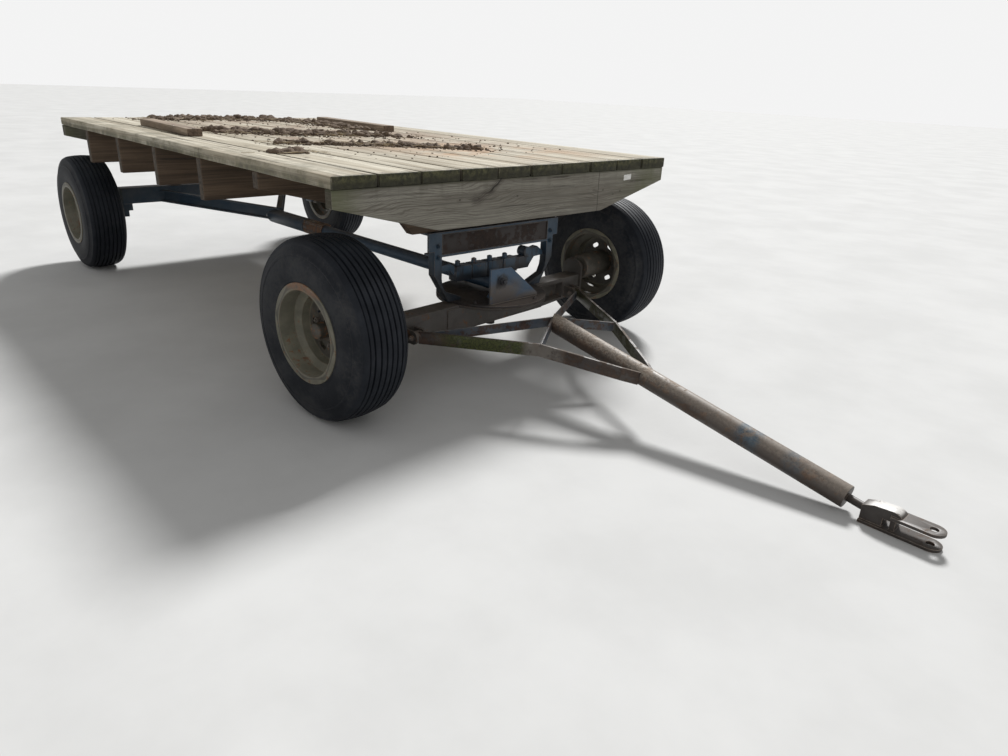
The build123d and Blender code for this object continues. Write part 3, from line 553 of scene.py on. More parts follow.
def front_marks(f, colour, axes):
    """
    The front header's split at SPLIT_Y, and its knot's streak: with t along y from
    STREAK_Y, the streak follows z = STREAK_Z + 0.58 t + 2.2 t squared.
    """
    front = f.span(axes[0], 0.0, 0.2)
    sway = f.times(f.minus(f.noise(14.0, 2.0), 0.5), 0.020)
    off = f.size(f.plus(f.minus(axes[1], SPLIT_Y), sway))
    colour = f.stain(colour, (0.03, 0.025, 0.02), f.span(off, 0.0032, 0.0012), front, 0.8)
    along = f.minus(axes[1], STREAK_Y)
    rise = f.minus(f.minus(axes[2], STREAK_Z), f.times(along, 0.58))
    bend = f.times(f.minus(f.noise(22.0, 4.0), 0.5), 0.022)
    across = f.size(f.plus(f.minus(rise, f.times(along, along, 2.2)), bend))
    reach = f.times(f.span(f.size(along), 0.120, 0.085), front)
    rings = f.span(f.math("SINE", f.times(across, 700.0)), -0.3, 0.8, 0.35, 1.0)
    halo = f.times(f.span(across, 0.034, 0.010), rings)
    colour = f.stain(colour, (0.055, 0.046, 0.037), halo, reach, 0.80)
    core = f.times(f.span(across, 0.009, 0.003), f.span(along, -0.03, 0.02))
    return f.stain(colour, (0.022, 0.018, 0.014), core, reach, 0.85)


def header_layers(f, colour, axes):
    """All the headers' layers, from the grain outward."""
    for layer in (header_figure, header_stains, front_marks):
        colour = layer(f, colour, axes)
    return colour


print("header layers ready, eyes:", len(HEADER_EYES))

# %% [markdown]
# ## The four kinds of timber
#
# The deck is bleached nearly white, the headers are grey, the joists keep their brown
# in the shade of the deck, and the loose cleats are younger than the rest.

# %% Timber finishes
# The deck's layers start with painted shade in the gaps between boards.
DECK_WOOD = timber_finish("deck_timber", 0, (0.74, 0.69, 0.565), (0.40, 0.345, 0.25),
                          (0.075, 0.066, 0.045), deck_stains_and_gap_shade)
HEADER_WOOD = timber_finish("header_timber", 1, (0.275, 0.262, 0.220), (0.165, 0.150, 0.122),
                            (0.06, 0.05, 0.035), header_layers, HEADER_KNOTS)
JOIST_WOOD = timber_finish("joist_timber", 1, (0.15, 0.105, 0.07), (0.085, 0.058, 0.038),
                           (0.085, 0.066, 0.048), None, ((-0.6, 0.88, 0.03, 1.5), (0.3, 0.87, 0.02, 1.5)))
CLEAT_WOOD = timber_finish("cleat_timber", 0, (0.46, 0.37, 0.28), (0.27, 0.205, 0.15), (0.20, 0.145, 0.105))
print("timber finishes:", [m.name for m in (DECK_WOOD, HEADER_WOOD, JOIST_WOOD, CLEAT_WOOD)])

# %% [markdown]
# ## Sawn sticks
#
# A board, joist or cleat is lofted along its length: at each place the cross-section
# is a rectangle with rounded corners, whose sides wander in by a millimetre or two as
# sawn timber does, and the ends are eased over a few millimetres. The headers and the
# first joist are cut away below towards both ends, and so are the planks on the gear.

# %% Loft of a stick
EASE = 0.004
SWAY = 0.0014


def outline(corner_steps, side_steps):
    """Unit rectangle with rounded corners: columns are the corner's sign and the arc's offset."""
    quarter = np.linspace(0, np.pi / 2, corner_steps + 1)
    corners = []
    for n, (sa, sb) in enumerate(((1, 1), (-1, 1), (-1, -1), (1, -1))):
        a = quarter + n * np.pi / 2
        corners.append(np.stack([np.full_like(a, sa), np.full_like(a, sb), np.cos(a), np.sin(a)], 1))
    share = np.linspace(0, 1, side_steps + 2)[1:-1, None]
    out = []
    for corner, following in zip(corners, np.roll(corners, -1, axis=0)):
        out += [corner, corner[-1] * (1 - share) + following[0] * share]
    return np.concatenate(out)


def eased(length, inner):
    """Places from 0 to length along a stick, and how far it draws in there: a quarter circle at each end."""
    t = np.linspace(np.pi / 2, 0, 4)
    near, draw = EASE * (1 - np.sin(t)), EASE * (1 - np.cos(t))
    return (np.concatenate([near, inner, length - near[::-1]]),
            np.concatenate([draw, np.zeros(len(inner)), draw[::-1]]))


def stick(node, material, run, radius, seed, taper=None):
    """
    Lofts a stick over a CAD node's box. With s along the stick, each side draws in by SWAY
    times (0.5 + 0.125 times the sum of four sines of s), and the ends by a quarter circle.
    taper is (length, height): over that length the underside rises, to leave that height.
    """
    low, high = (np.array(v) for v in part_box(node))
    rng = np.random.default_rng(seed)
    side = 1 - run
    length = (high - low)[run]
    inner = np.linspace(2 * EASE, length - 2 * EASE, max(12, int(length / 0.05)))
    s, inset = eased(length, inner)
    s = s + low[run]

    def wander(amount):
        """A side's way in, from waves of its own."""
        waves = rng.uniform(1.5, 9.0, 4)
        phases = rng.uniform(0, 2 * np.pi, 4)
        return amount * (0.5 + 0.125 * np.sin(s[:, None] * waves + phases).sum(1))

    left = low[side] + wander(SWAY) + inset
    right = high[side] - wander(SWAY) - inset
    foot = low[2] + wander(SWAY) + inset
    if taper is not None:
        near = np.clip(np.minimum(s - low[run], high[run] - s) / taper[0], 0, 1)
        foot = foot + (1 - near) * (high[2] - low[2] - taper[1])
    top = high[2] - wander(0.5 * SWAY) - inset
    middle = np.stack([(left + right) / 2, (foot + top) / 2], 1)
    half = np.stack([(right - left) / 2, (top - foot) / 2], 1)
    r = np.minimum(radius * (1 + 0.5 * np.sin(9 * s + seed)), half.min(1) * 0.6)[:, None]
    grid = np.empty((len(s), len(OUTLINE), 3))
    grid[..., run] = s[:, None]
    grid[..., side] = middle[:, :1] + OUTLINE[:, 0] * (half[:, :1] - r) + OUTLINE[:, 2] * r
    grid[..., 2] = middle[:, 1:] + OUTLINE[:, 1] * (half[:, 1:] - r) + OUTLINE[:, 3] * r
    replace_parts(closed_tubes(node + "_timber", [grid], material, "wagon", 50.0), node)


OUTLINE = outline(3, 5)
print("points round a stick:", len(OUTLINE))

# %% Boards, headers, joists and planks
boards = sorted(n for n in frame["nodes"] if n.startswith("deck_board"))
for number, node in enumerate(boards):
    stick(node, DECK_WOOD, 0, 0.005, number)
for number, node in enumerate(("header_front", "header_rear", "joist_1")):
    wood = JOIST_WOOD if node == "joist_1" else HEADER_WOOD
    stick(node, wood, 1, 0.004, 20 + number, (0.52, 0.072))
for number in range(2, 6):
    stick(f"joist_{number}", JOIST_WOOD, 1, 0.004, 30 + number)
for number, node in enumerate(("plank_front", "plank_rear")):
    stick(node, JOIST_WOOD, 1, 0.004, 40 + number, (0.06, 0.18))

# %% [markdown]
# ## Loose cleats on the deck
#
# Two lengths of sawn timber lie on the deck, a few degrees askew to the boards. They
# are lofted like the boards, along a direction of their own.

# %% Cleats
CLEAT_HALF = 0.045
CLEAT_ROUND = 0.006
CLEAT_WANE = 0.0015


def cleat(node, centre, length, angle, seed):
    """A stick turned by angle about z; CLEAT_WANE (1 - sin(11 s + seed)) is off its half width."""
    low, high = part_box(node)
    along = np.array([math.cos(angle), math.sin(angle), 0.0])
    over = np.array([-math.sin(angle), math.cos(angle), 0.0])
    s, inset = eased(length, np.linspace(0.02, length - 0.02, 20))
    s = s - length / 2
    wane = CLEAT_WANE * (1 - np.sin(11 * s + seed))
    half = np.stack([CLEAT_HALF - inset - wane, (high.z - low.z) / 2 - inset], 1)
    a = OUTLINE[:, 0] * (half[:, :1] - CLEAT_ROUND) + OUTLINE[:, 2] * CLEAT_ROUND
    b = OUTLINE[:, 1] * (half[:, 1:] - CLEAT_ROUND) + OUTLINE[:, 3] * CLEAT_ROUND
    middle = np.array([centre[0], centre[1], (high.z + low.z) / 2])
    grid = middle + s[:, None, None] * along + a[..., None] * over + b[..., None] * UP
    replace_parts(closed_tubes(node + "_timber", [grid], CLEAT_WOOD, "wagon", 50.0), node)


cleat("cleat_right", (-1.413, -0.772), 0.930, math.radians(-3.6), 1)
cleat("cleat_left", (-1.623, 0.662), 1.040, math.radians(-3.8), 2)
print("cleats laid")

# %% [markdown]
# ## Painted and rusted steel
#
# The gear was painted blue long ago. Sun chalks the paint, rust breaks through in
# patches that start at edges and seams, and dust settles on every face that looks up.
# One recipe makes them all: paint, chalk, rust, worn edges and dust in that order,
# and the share of each sets one bar apart from the next.

# %% Steel recipe
BROWN_DUST = (0.27, 0.225, 0.18)
DARK_RUST = (0.060, 0.032, 0.021)
LIGHT_RUST = (0.17, 0.085, 0.042)


def steel_finish(name, paint, rust, dust, chalk, wear, dust_colour=BROWN_DUST,
                 rust_dark=DARK_RUST, rust_light=LIGHT_RUST, extra=None):
    """rust, dust, chalk and wear are shares from 0 to 1; extra adds layers of its own: stains, painted shade
    and a painted highlight.
    """
    f = Finish(name)
    axes = f.axes(f.place)
    cloud = f.noise(6.0, 6.0, 0.65)
    spots = f.noise(34.0, 5.0, 0.7)
    grit = f.noise(240.0, 3.0, 0.7)
    grain = f.span(grit, 0.3, 0.7)
    colour = f.stain(paint, tuple(0.5 * v + 0.10 for v in paint), f.span(cloud, 0.35, 0.7), chalk)
    level = 0.72 - 0.42 * rust
    eaten = f.span(f.plus(f.times(cloud, 0.6), f.times(spots, 0.4)), level, level + 0.06)
    colour = f.mix(eaten, colour, f.mix(f.span(spots, 0.35, 0.68), rust_dark, rust_light))
    edge = f.times(f.attribute("edge"), f.span(spots, 0.35, 0.55, 0.0, wear))
    colour = f.mix(edge, colour, f.mix(grain, (0.14, 0.10, 0.075), (0.30, 0.25, 0.21)))
    patch = f.span(f.noise(11.0, 5.0, 0.7), 0.25, 0.55, 0.35, 1.0)
    upward = f.times(f.span(f.axes(f.normal)[2], 0.15, 0.85), patch)
    film = f.times(f.span(f.noise(4.0, 5.0, 0.7), 0.35, 0.7), 0.35)
    settled = f.times(f.most(upward, film), dust)
    colour = f.mix(settled, colour, f.mix(grain, dust_colour, scaled(dust_colour, 1.25)))
    if extra is not None:
        colour = extra(f, colour, axes)
    height = f.plus(f.times(eaten, f.span(spots, 0.3, 0.7, -1.0, 0.4)), f.times(grit, 0.35))
    rough = f.most(f.span(eaten, 0.0, 1.0, 0.48, 0.85), f.times(settled, 0.95))
    return f.finish(colour, rough, f.bump(height, 0.0007))


print("steel recipe ready")

# %% [markdown]
# ## Stains, shade and highlight of the tongue
#
# The hounds are mossy where they stay in the shade, one patch of the right one is
# bare and grey, and the tube has lost its paint but for two blue patches half way
# down; its underside is darkened as painted shade. The hump of the hitch is paler on
# top, partly rubbed bright and partly a painted highlight.

# %% Tongue stains, shade and highlight


def hound_moss(f, colour, axes):
    """Moss and a bare grey patch on the right hound's outer face, and thinner moss on the left one."""
    patch = f.span(f.noise(24.0, 5.0, 0.7), 0.28, 0.50)
    green = f.mix(f.span(f.noise(150.0, 4.0, 0.7), 0.35, 0.65), (0.018, 0.024, 0.006), (0.075, 0.088, 0.022))
    outward = f.axes(f.normal)[1]
    right = f.times(f.span(outward, 0.2, -0.4), f.span(axes[1], 0.05, -0.05))
    colour = f.stain(colour, green, f.band(axes[0], 0.90, 1.02, 1.23, 1.30), right, patch, 0.92)
    colour = f.stain(colour, (0.20, 0.18, 0.155), f.band(axes[0], 1.24, 1.28, 1.38, 1.43), right, patch, 0.6)
    left = f.times(f.span(outward, -0.1, -0.5), f.span(axes[1], 0.05, 0.15))
    return f.stain(colour, green, left, patch, 0.6)


def tube_paint_and_shade(f, colour, axes):
    """Two patches of blue paint, pale grit on the upper side, pits, and painted shade on the underside."""
    patch = f.span(f.noise(26.0, 5.0, 0.7), 0.38, 0.55)
    second = f.times(f.band(axes[0], 2.36, 2.40, 2.43, 2.47), 0.5)
    place = f.most(f.band(axes[0], 2.155, 2.195, 2.250, 2.290), second)
    colour = f.stain(colour, (0.045, 0.105, 0.155), place, patch, 0.80)
    up = f.axes(f.normal)[2]
    speck = f.times(f.span(f.noise(110.0, 5.0, 0.75), 0.42, 0.60), f.span(axes[0], 1.95, 1.65, 0.18, 0.65))
    colour = f.stain(colour, (0.50, 0.43, 0.35), f.span(up, -0.1, 0.7), speck)
    colour = f.stain(colour, (0.075, 0.050, 0.038), f.span(f.noise(70.0, 4.0, 0.7), 0.56, 0.66), 0.45)
    # painted shade: faces that look down are darkened
    return f.stain(colour, (0.036, 0.027, 0.022), f.span(up, 0.60, -0.20), 0.72)


def worn_and_highlit_hump(f, colour, axes):
    """The hump of the hitch is paler on its upper side: partly rubbed wear, partly a painted highlight."""
    top = f.times(f.span(axes[2], 0.066, 0.080), f.span(f.axes(f.normal)[2], 0.70, 0.95))
    # partly painted highlight: the upward faces of the hump are made pale
    return f.stain(colour, (0.68, 0.66, 0.63), top, f.span(f.noise(30.0, 5.0, 0.7), 0.3, 0.5))


print("tongue stains ready")

# %% [markdown]
# ## Painted shade and dust of the gear
#
# The yoke's legs, the lower half of the clamp bar, the turntable's plates behind the
# bracket and the end plates of the axle beam are darkened as painted shade. Dust sticks
# at the front, where the wheels throw it on the bracket and the axle beam.

# %% Gear shade and stains
NUT_Y = -0.118
NUT_Z = 0.492


def plate_dust(f, colour, axes):
    """Grey-brown dust on the lower right part of the bracket's face, and a dark stain round its nut."""
    low = f.times(f.span(axes[2], 0.52, 0.455), f.span(axes[1], 0.06, -0.05))
    low = f.most(low, f.span(axes[2], 0.435, 0.395))
    face = f.span(axes[0], FRONT_X + 0.188, FRONT_X + 0.194)
    patch = f.span(f.noise(20.0, 5.0, 0.7), 0.22, 0.50, 0.25, 1.0)
    colour = f.stain(colour, (0.120, 0.098, 0.080), low, face, patch, 0.88)
    sway = f.times(f.minus(f.noise(30.0, 4.0), 0.5), 0.05)
    far = f.plus(f.apart(f.minus(axes[1], NUT_Y), f.minus(axes[2], NUT_Z)), sway)
    return f.mix(f.span(far, 0.048, 0.024, 0.0, 0.80), colour, (0.030, 0.025, 0.022))


def painted_shade_on_legs(f, colour, axes):
    """The yoke's legs are darkened towards the turntable as painted shade."""
    patch = f.span(f.noise(13.0, 5.0, 0.7), 0.25, 0.55, 0.45, 1.0)
    # painted shade: the legs grow darker towards the bottom
    return f.stain(colour, (0.014, 0.014, 0.015), f.span(axes[2], 0.62, 0.50), patch, 0.80)


def painted_shade_and_rust_on_bar(f, colour, axes):
    """The clamp bar is darkened below as painted shade, and rusty in bands."""
    patch = f.span(f.noise(16.0, 5.0, 0.7), 0.25, 0.50, 0.40, 1.0)
    # painted shade: the lower half of the bar is darkened
    colour = f.stain(colour, (0.012, 0.012, 0.013), f.span(axes[2], 0.525, 0.495), patch, 0.85)
    streak = f.noise(1.0, 3.0, 0.6, f.stretched((9.0, 26.0, 5.0)))
    return f.mix(f.span(streak, 0.52, 0.60, 0.0, 0.75), colour, (0.022, 0.016, 0.014))


def painted_shade_on_disc(f, colour, axes):
    """The turntable's plates are darkened behind the bracket as painted shade, but for a dusty rim at the
    front.
    """
    patch = f.span(f.noise(12.0, 4.0), 0.2, 0.55, 0.55, 1.0)
    back = f.span(axes[0], FRONT_X + 0.235, FRONT_X + 0.175)
    # painted shade: the plates behind the bracket are darkened
    return f.stain(colour, (0.020, 0.017, 0.016), back, patch, 0.85)


def grease_streaks_and_end_shade(f, colour, axes):
    """Dark streaks of old grease and dust run down the axle beam's face, and its end plates are darkened as
    painted shade.
    """
    run = f.span(f.noise(1.0, 4.0, 0.65, f.stretched((26.0, 26.0, 2.0))), 0.46, 0.64)
    colour = f.stain(colour, (0.055, 0.050, 0.040), run, 0.45)
    patch = f.span(f.noise(15.0, 4.0), 0.2, 0.5, 0.4, 1.0)
    # painted shade: the end plates near the wheels are darkened
    return f.stain(colour, (0.040, 0.036, 0.030), f.span(f.size(axes[1]), 0.60, 0.66), patch, 0.75)


print("gear stains ready")

# %% [markdown]
# ## The steel of each bar
#
# After the name come the paint and the shares of rust, dust, chalk and worn edges.
# Where a bar's dust or rust has its own colours, they follow.

# %% Steel finishes
BLUE_STEEL = steel_finish("blue_paint_worn", (0.018, 0.048, 0.084), 0.28, 0.30, 0.22, 0.6, extra=painted_shade_on_legs)
BLUE_CLEAN = steel_finish("blue_paint_sound", (0.015, 0.050, 0.095), 0.12, 0.20, 0.15, 0.5)
BRACKET_STEEL = steel_finish("blue_paint_dusty", (0.024, 0.078, 0.150), 0.10, 0.38, 0.3, 0.8, extra=plate_dust)
REAR_STEEL = steel_finish("blue_rear", (0.022, 0.050, 0.082), 0.20, 0.35, 0.3, 0.5)
BAR_STEEL = steel_finish("blue_bar", (0.020, 0.055, 0.095), 0.40, 0.25, 0.3, 0.9, extra=painted_shade_and_rust_on_bar)
BEAM_STEEL = steel_finish("rusty_beam", (0.024, 0.016, 0.014), 0.60, 0.08, 0.0, 0.5,
                          rust_dark=(0.018, 0.011, 0.009), rust_light=(0.040, 0.024, 0.018))
DISC_STEEL = steel_finish("dusty_disc", (0.040, 0.034, 0.032), 0.45, 0.60, 0.1, 0.6,
                          (0.190, 0.155, 0.130), extra=painted_shade_on_disc)
AXLE_STEEL = steel_finish("dusty_axle", (0.050, 0.042, 0.036), 0.40, 0.62, 0.4, 0.7,
                          (0.135, 0.113, 0.094), extra=grease_streaks_and_end_shade)
HOUND_STEEL = steel_finish("rusty_hound", (0.032, 0.022, 0.018), 0.60, 0.24, 0.2, 1.0,
                           (0.34, 0.29, 0.24), (0.024, 0.015, 0.012), (0.066, 0.040, 0.028), hound_moss)
BRACE_STEEL = steel_finish("brace_paint", (0.034, 0.050, 0.072), 0.60, 0.42, 0.4, 1.0,
                           (0.34, 0.30, 0.26), (0.026, 0.016, 0.014), (0.070, 0.038, 0.029))
TUBE_STEEL = steel_finish("rusty_tube", (0.085, 0.066, 0.053), 0.50, 0.60, 0.2, 0.8,
                          (0.28, 0.24, 0.20), (0.085, 0.050, 0.035), (0.19, 0.12, 0.08), tube_paint_and_shade)
HITCH_STEEL = steel_finish("worn_and_highlit_hitch", (0.032, 0.025, 0.021), 0.5, 0.20, 0.1, 1.0,
                           (0.24, 0.205, 0.175), (0.030, 0.020, 0.015), (0.085, 0.052, 0.034), worn_and_highlit_hump)
COLLAR_STEEL = steel_finish("rusty_collar", (0.05, 0.034, 0.030), 0.65, 0.4, 0.2, 0.6)
BOLT_STEEL = steel_finish("bolt_steel", (0.10, 0.085, 0.075), 0.45, 0.4, 0.3, 0.9)
WELD_STEEL = steel_finish("weld_steel", (0.045, 0.038, 0.034), 0.45, 0.5, 0.2, 0.3)
print("finishes so far:", [m.name for m in bpy.data.materials if m.use_nodes])

# %% [markdown]
# ## Steel with rounded edges
#
# Plates and bars that are already the right shape are welded, bent or flame cut, and
# their edges are rounded by wear. A copy of each is joined up, its flat faces made
# whole, and a bevel rounds the edges. The corners of the bevel's faces are marked in
# an attribute, so that paint wears off along them.

# %% Bevelled copies


def rounded(node, width, material, angle=30.0):
    """A joined copy of a node's triangles with its edges bevelled, and the bevel marked as 'edge'."""
    work = bmesh.new()
    work.from_mesh(frame["nodes"][node].data)
    bmesh.ops.remove_doubles(work, verts=work.verts, dist=2e-5)
    bmesh.ops.dissolve_limit(work, angle_limit=math.radians(0.6), verts=work.verts, edges=work.edges)
    mesh = bpy.data.meshes.new(node + "_rounded")
    work.to_mesh(mesh)
    work.free()
    for name in ("custom_normal", "UVMap"):
        if name in mesh.attributes:
            mesh.attributes.remove(mesh.attributes[name])
    mesh.materials.clear()
    mesh.materials.append(material)
    mesh.materials.append(material)
    obj = bpy.data.objects.new(node + "_rounded", mesh)
    bpy.context.scene.collection.objects.link(obj)
    mesh.polygons.foreach_set("material_index", np.zeros(len(mesh.polygons), np.int32))
    edges = obj.modifiers.new("edges", "BEVEL")
    edges.width = width
    edges.segments = 2
    edges.limit_method = "ANGLE"
    edges.angle_limit = math.radians(angle)
    edges.material = 1
    ready = obj.evaluated_get(bpy.context.evaluated_depsgraph_get())
    made = bpy.data.meshes.new_from_object(ready)
    obj.modifiers.remove(edges)
    obj.data = made
    index = np.zeros(len(made.polygons), np.int32)
    made.polygons.foreach_get("material_index", index)
    sizes = np.zeros(len(made.polygons), np.int32)
    made.polygons.foreach_get("loop_total", sizes)
    mark = made.attributes.new("edge", "FLOAT", "CORNER")
    mark.data.foreach_set("value", np.repeat((index > 0).astype(np.float32), sizes))
    made.polygons.foreach_set("material_index", np.zeros(len(index), np.int32))
    made.materials.pop(index=1)
    made.polygons.foreach_set("use_smooth", np.ones(len(index), bool))
    made.set_sharp_from_angle(angle=math.radians(32))
    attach(obj, body_of(frame["nodes"][node])[0])
    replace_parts(obj, node)
    return obj


COPIES = (
    ("bolster_beam", 0.003, BEAM_STEEL, "rusty_steel"),
    ("bolster_yoke", 0.002, BLUE_STEEL, "blue_steel"),
    ("clamp_bar", 0.003, BAR_STEEL, "blue_steel"),
    ("turntable_upper", 0.002, DISC_STEEL, "grey_steel"),
    ("reach_bracket", 0.002, BRACKET_STEEL, "blue_steel"),
    ("reach_tube", 0.002, BLUE_CLEAN, "blue_steel"),
    ("reach_sleeve", 0.002, REAR_STEEL, "blue_steel"),
    ("reach_collar", 0.003, COLLAR_STEEL, "rusty_steel"),
    ("rear_axle", 0.003, REAR_STEEL, "blue_steel"),
    ("rear_bolster", 0.003, REAR_STEEL, "blue_steel"),
    ("rear_hound_right", 0.0025, REAR_STEEL, "blue_steel"),
    ("rear_hound_left", 0.0025, REAR_STEEL, "blue_steel"),
    ("front_axle_beam", 0.003, AXLE_STEEL, "grey_steel"),
    ("tongue_hound_right", 0.002, HOUND_STEEL, "rusty_steel"),
    ("tongue_hound_left", 0.002, HOUND_STEEL, "rusty_steel"),
    ("tongue_brace_right", 0.0018, BRACE_STEEL, "blue_steel"),
    ("tongue_brace_left", 0.0018, BRACE_STEEL, "blue_steel"),
    ("tongue_tube", 0.002, TUBE_STEEL, "rusty_steel"),
    ("clevis", 0.0025, HITCH_STEEL, "rusty_steel"),
)
for node, width, material, slot in COPIES:
    obj = rounded(node, width, material)
    print(obj.name, len(obj.data.polygons), "faces")

# %% [markdown]
# ## Ribbed implement tyres
#
# A farm implement tyre runs free, so its tread has no lugs, only ribs that go round.
# The section is drawn once and turned about the axle: a crowned tread with six
# grooves, a rounded shoulder, a bulging sidewall with a scuff ridge, and the bead.
# Dust clings to the sidewall and to a band below the shoulder, so each point's
# distance from the axle is written into the mesh as a number that the finish reads.

# %% Tyre section
TYRE_RADIUS = 0.396
TREAD_HALF = 0.086
CROWN = 0.008
GROOVES = np.array([0.068, 0.040, 0.0135])
GROOVE_SIDES = np.array([(0.0042, 0.0), (0.0030, -0.0090), (-0.0030, -0.0090), (-0.0042, 0.0)])


def tyre_section():
    """
    Points (u, r) of the closed section, u along the axle. Across the tread the radius is
    TYRE_RADIUS - CROWN (u / TREAD_HALF) squared, and less in each groove.
    """
    side = np.array([
        (0.1215, 0.1915), (0.1225, 0.2120), (0.1262, 0.2165), (0.1272, 0.2225), (0.1262, 0.2275),
        (0.1285, 0.2360), (0.1305, 0.2520), (0.1318, 0.2680), (0.1320, 0.2830), (0.1304, 0.3000),
        (0.1270, 0.3150), (0.1252, 0.3210), (0.1268, 0.3250), (0.1264, 0.3300), (0.1230, 0.3345),
        (0.1196, 0.3400), (0.1165, 0.3500), (0.1130, 0.3600), (0.1115, 0.3650), (0.1118, 0.3690),
        (0.1085, 0.3745), (0.1030, 0.3790), (0.0960, 0.3830), (0.0905, 0.3855), (0.0893, 0.3810),
        (0.0868, 0.3810), (0.0855, 0.3880),
    ])
    u = (GROOVES[:, None] + GROOVE_SIDES[:, 0]).ravel()
    r = TYRE_RADIUS - CROWN * (u / TREAD_HALF) ** 2 + np.tile(GROOVE_SIDES[:, 1], len(GROOVES))
    half = np.concatenate([side, np.stack([u, r], 1), [(0.0045, TYRE_RADIUS)]])
    other = half[::-1] * np.array([-1.0, 1.0])
    return np.concatenate([half, other])


SECTION = tyre_section()
print("tyre section points:", len(SECTION))

# %% Tyres


def from_axle(obj, centre, out):
    """Each vertex's distance from the axle, and how far it lies inward of the wheel's middle."""
    spots = np.zeros(len(obj.data.vertices) * 3)
    obj.data.vertices.foreach_get("co", spots)
    away = spots.reshape(-1, 3) - centre
    inward = -(away @ out)
    return np.linalg.norm(away + inward[:, None] * out, axis=1), inward


def write_mark(obj, name, values):
    """Writes one number for each vertex into an attribute of the mesh."""
    mark = obj.data.attributes.new(name, "FLOAT", "POINT")
    mark.data.foreach_set("value", values.astype(np.float32))


def tyre_finish():
    """Black rubber gone grey-blue in the sun, dusty on the sidewall and scuffed on the ribs."""
    f = Finish("tyre_rubber")
    cloud = f.noise(5.0, 6.0, 0.65)
    speck = f.noise(60.0, 5.0, 0.7)
    grain = f.noise(420.0, 3.0, 0.6)
    colour = f.mix(f.span(cloud, 0.35, 0.7), (0.0060, 0.0080, 0.0125), (0.0145, 0.0185, 0.0265))
    patch = f.span(f.plus(f.times(cloud, 0.6), f.times(speck, 0.4)), 0.42, 0.64, 0.03, 0.55)
    film = f.times(f.attribute("dust"), patch)
    colour = f.mix(film, colour, (0.090, 0.085, 0.078))
    colour = f.mix(f.span(speck, 0.68, 0.78, 0.0, 0.30), colour, (0.13, 0.125, 0.115))
    height = f.plus(f.times(grain, 0.4), f.times(speck, 0.6))
    f.shader.inputs["Specular IOR Level"].default_value = 0.24
    return f.finish(colour, f.span(film, 0.0, 0.7, 0.62, 0.93), f.bump(height, 0.0009))


RUBBER = tyre_finish()
for name, (centre, out) in WHEELS.items():
    tyre = ring(f"tyre_{name}_ribbed", SECTION, centre, out, RUBBER, "wheel_" + name, 144, 38.0)
    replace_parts(tyre, "tyre_" + name)
    radius, _ = from_axle(tyre, centre, out)
    sidewall = np.clip((0.372 - radius) / 0.05, 0, 1)
    shoulder = np.exp(-((radius - 0.352) / 0.016) ** 2)
    write_mark(tyre, "dust", 0.12 + 0.60 * sidewall + 0.35 * shoulder)
    print(tyre.name, len(tyre.data.polygons), "faces")

# %% [markdown]
# ## Rims, nuts and hub caps
#
# The rims are pressed sheet: two flanges, two bead seats, a well between them and a
# disc with hand holes. A rolled lip stiffens each flange. The paint is a pale
# olive-cream that has rusted where water stands, and the hub and the side towards the
# wagon are darkened as painted shade.

# %% Rims


def rim_finish():
    """Olive-cream paint with painted shade at the hub and inward, a dark band at the flanges, rust flakes and
    dust.
    """
    f = Finish("rim_paint")
    cloud = f.noise(9.0, 6.0, 0.65)
    spots = f.noise(42.0, 5.0, 0.7)
    grit = f.noise(260.0, 3.0, 0.6)
    radius = f.attribute("radius")
    # painted shade: the hub and the side towards the wagon are darkened
    inner = f.times(f.span(f.attribute("inward"), 0.02, 0.05, 0.0, 0.7), f.span(radius, 0.206, 0.202))
    hub = f.most(f.span(radius, 0.152, 0.132), inner)
    colour = f.mix(f.span(cloud, 0.35, 0.7), (0.118, 0.114, 0.082), (0.205, 0.194, 0.142))
    colour = f.stain(colour, (0.040, 0.035, 0.029), hub, 0.88)
    colour = f.stain(colour, (0.050, 0.047, 0.036), f.band(radius, 0.188, 0.195, 0.2070, 0.2105), 0.85)
    rust = f.span(f.plus(f.times(cloud, 0.5), f.times(spots, 0.5)), 0.54, 0.61)
    colour = f.mix(rust, colour, f.mix(f.span(spots, 0.4, 0.7), (0.10, 0.05, 0.028), (0.21, 0.11, 0.055)))
    wear = f.span(spots, 0.35, 0.6, 0.0, 0.7)
    colour = f.stain(colour, (0.15, 0.09, 0.055), f.attribute("edge"), wear)
    axes = f.axes(f.place)
    near_front = f.times(f.span(axes[0], 0.0, 0.2), f.span(axes[1], 0.0, -0.2))
    wet = f.times(f.span(axes[2], 0.555, 0.590), near_front)
    colour = f.stain(colour, (0.20, 0.095, 0.045), wet, f.span(spots, 0.35, 0.55, 0.2, 0.9))
    dust = f.span(f.noise(6.0, 5.0, 0.7), 0.4, 0.7, 0.0, 0.45)
    colour = f.stain(colour, (0.20, 0.18, 0.15), dust, 0.7)
    height = f.plus(f.times(rust, f.span(spots, 0.3, 0.7, -1.0, 0.5)), f.times(grit, 0.3))
    return f.finish(colour, f.span(rust, 0.0, 1.0, 0.55, 0.85), f.bump(height, 0.0006))


def mark_wheel(obj, centre, out):
    """Writes 'radius', the distance from the axle, and 'inward', the distance towards the wagon."""
    radius, inward = from_axle(obj, centre, out)
    write_mark(obj, "radius", radius)
    write_mark(obj, "inward", inward)


def bead_circle(u, r, size, steps):
    """A small circle of the given size in the plane of the section, its middle at (u, r)."""
    a = around(steps)
    return np.stack([u + size * np.cos(a), r + size * np.sin(a)], 1)


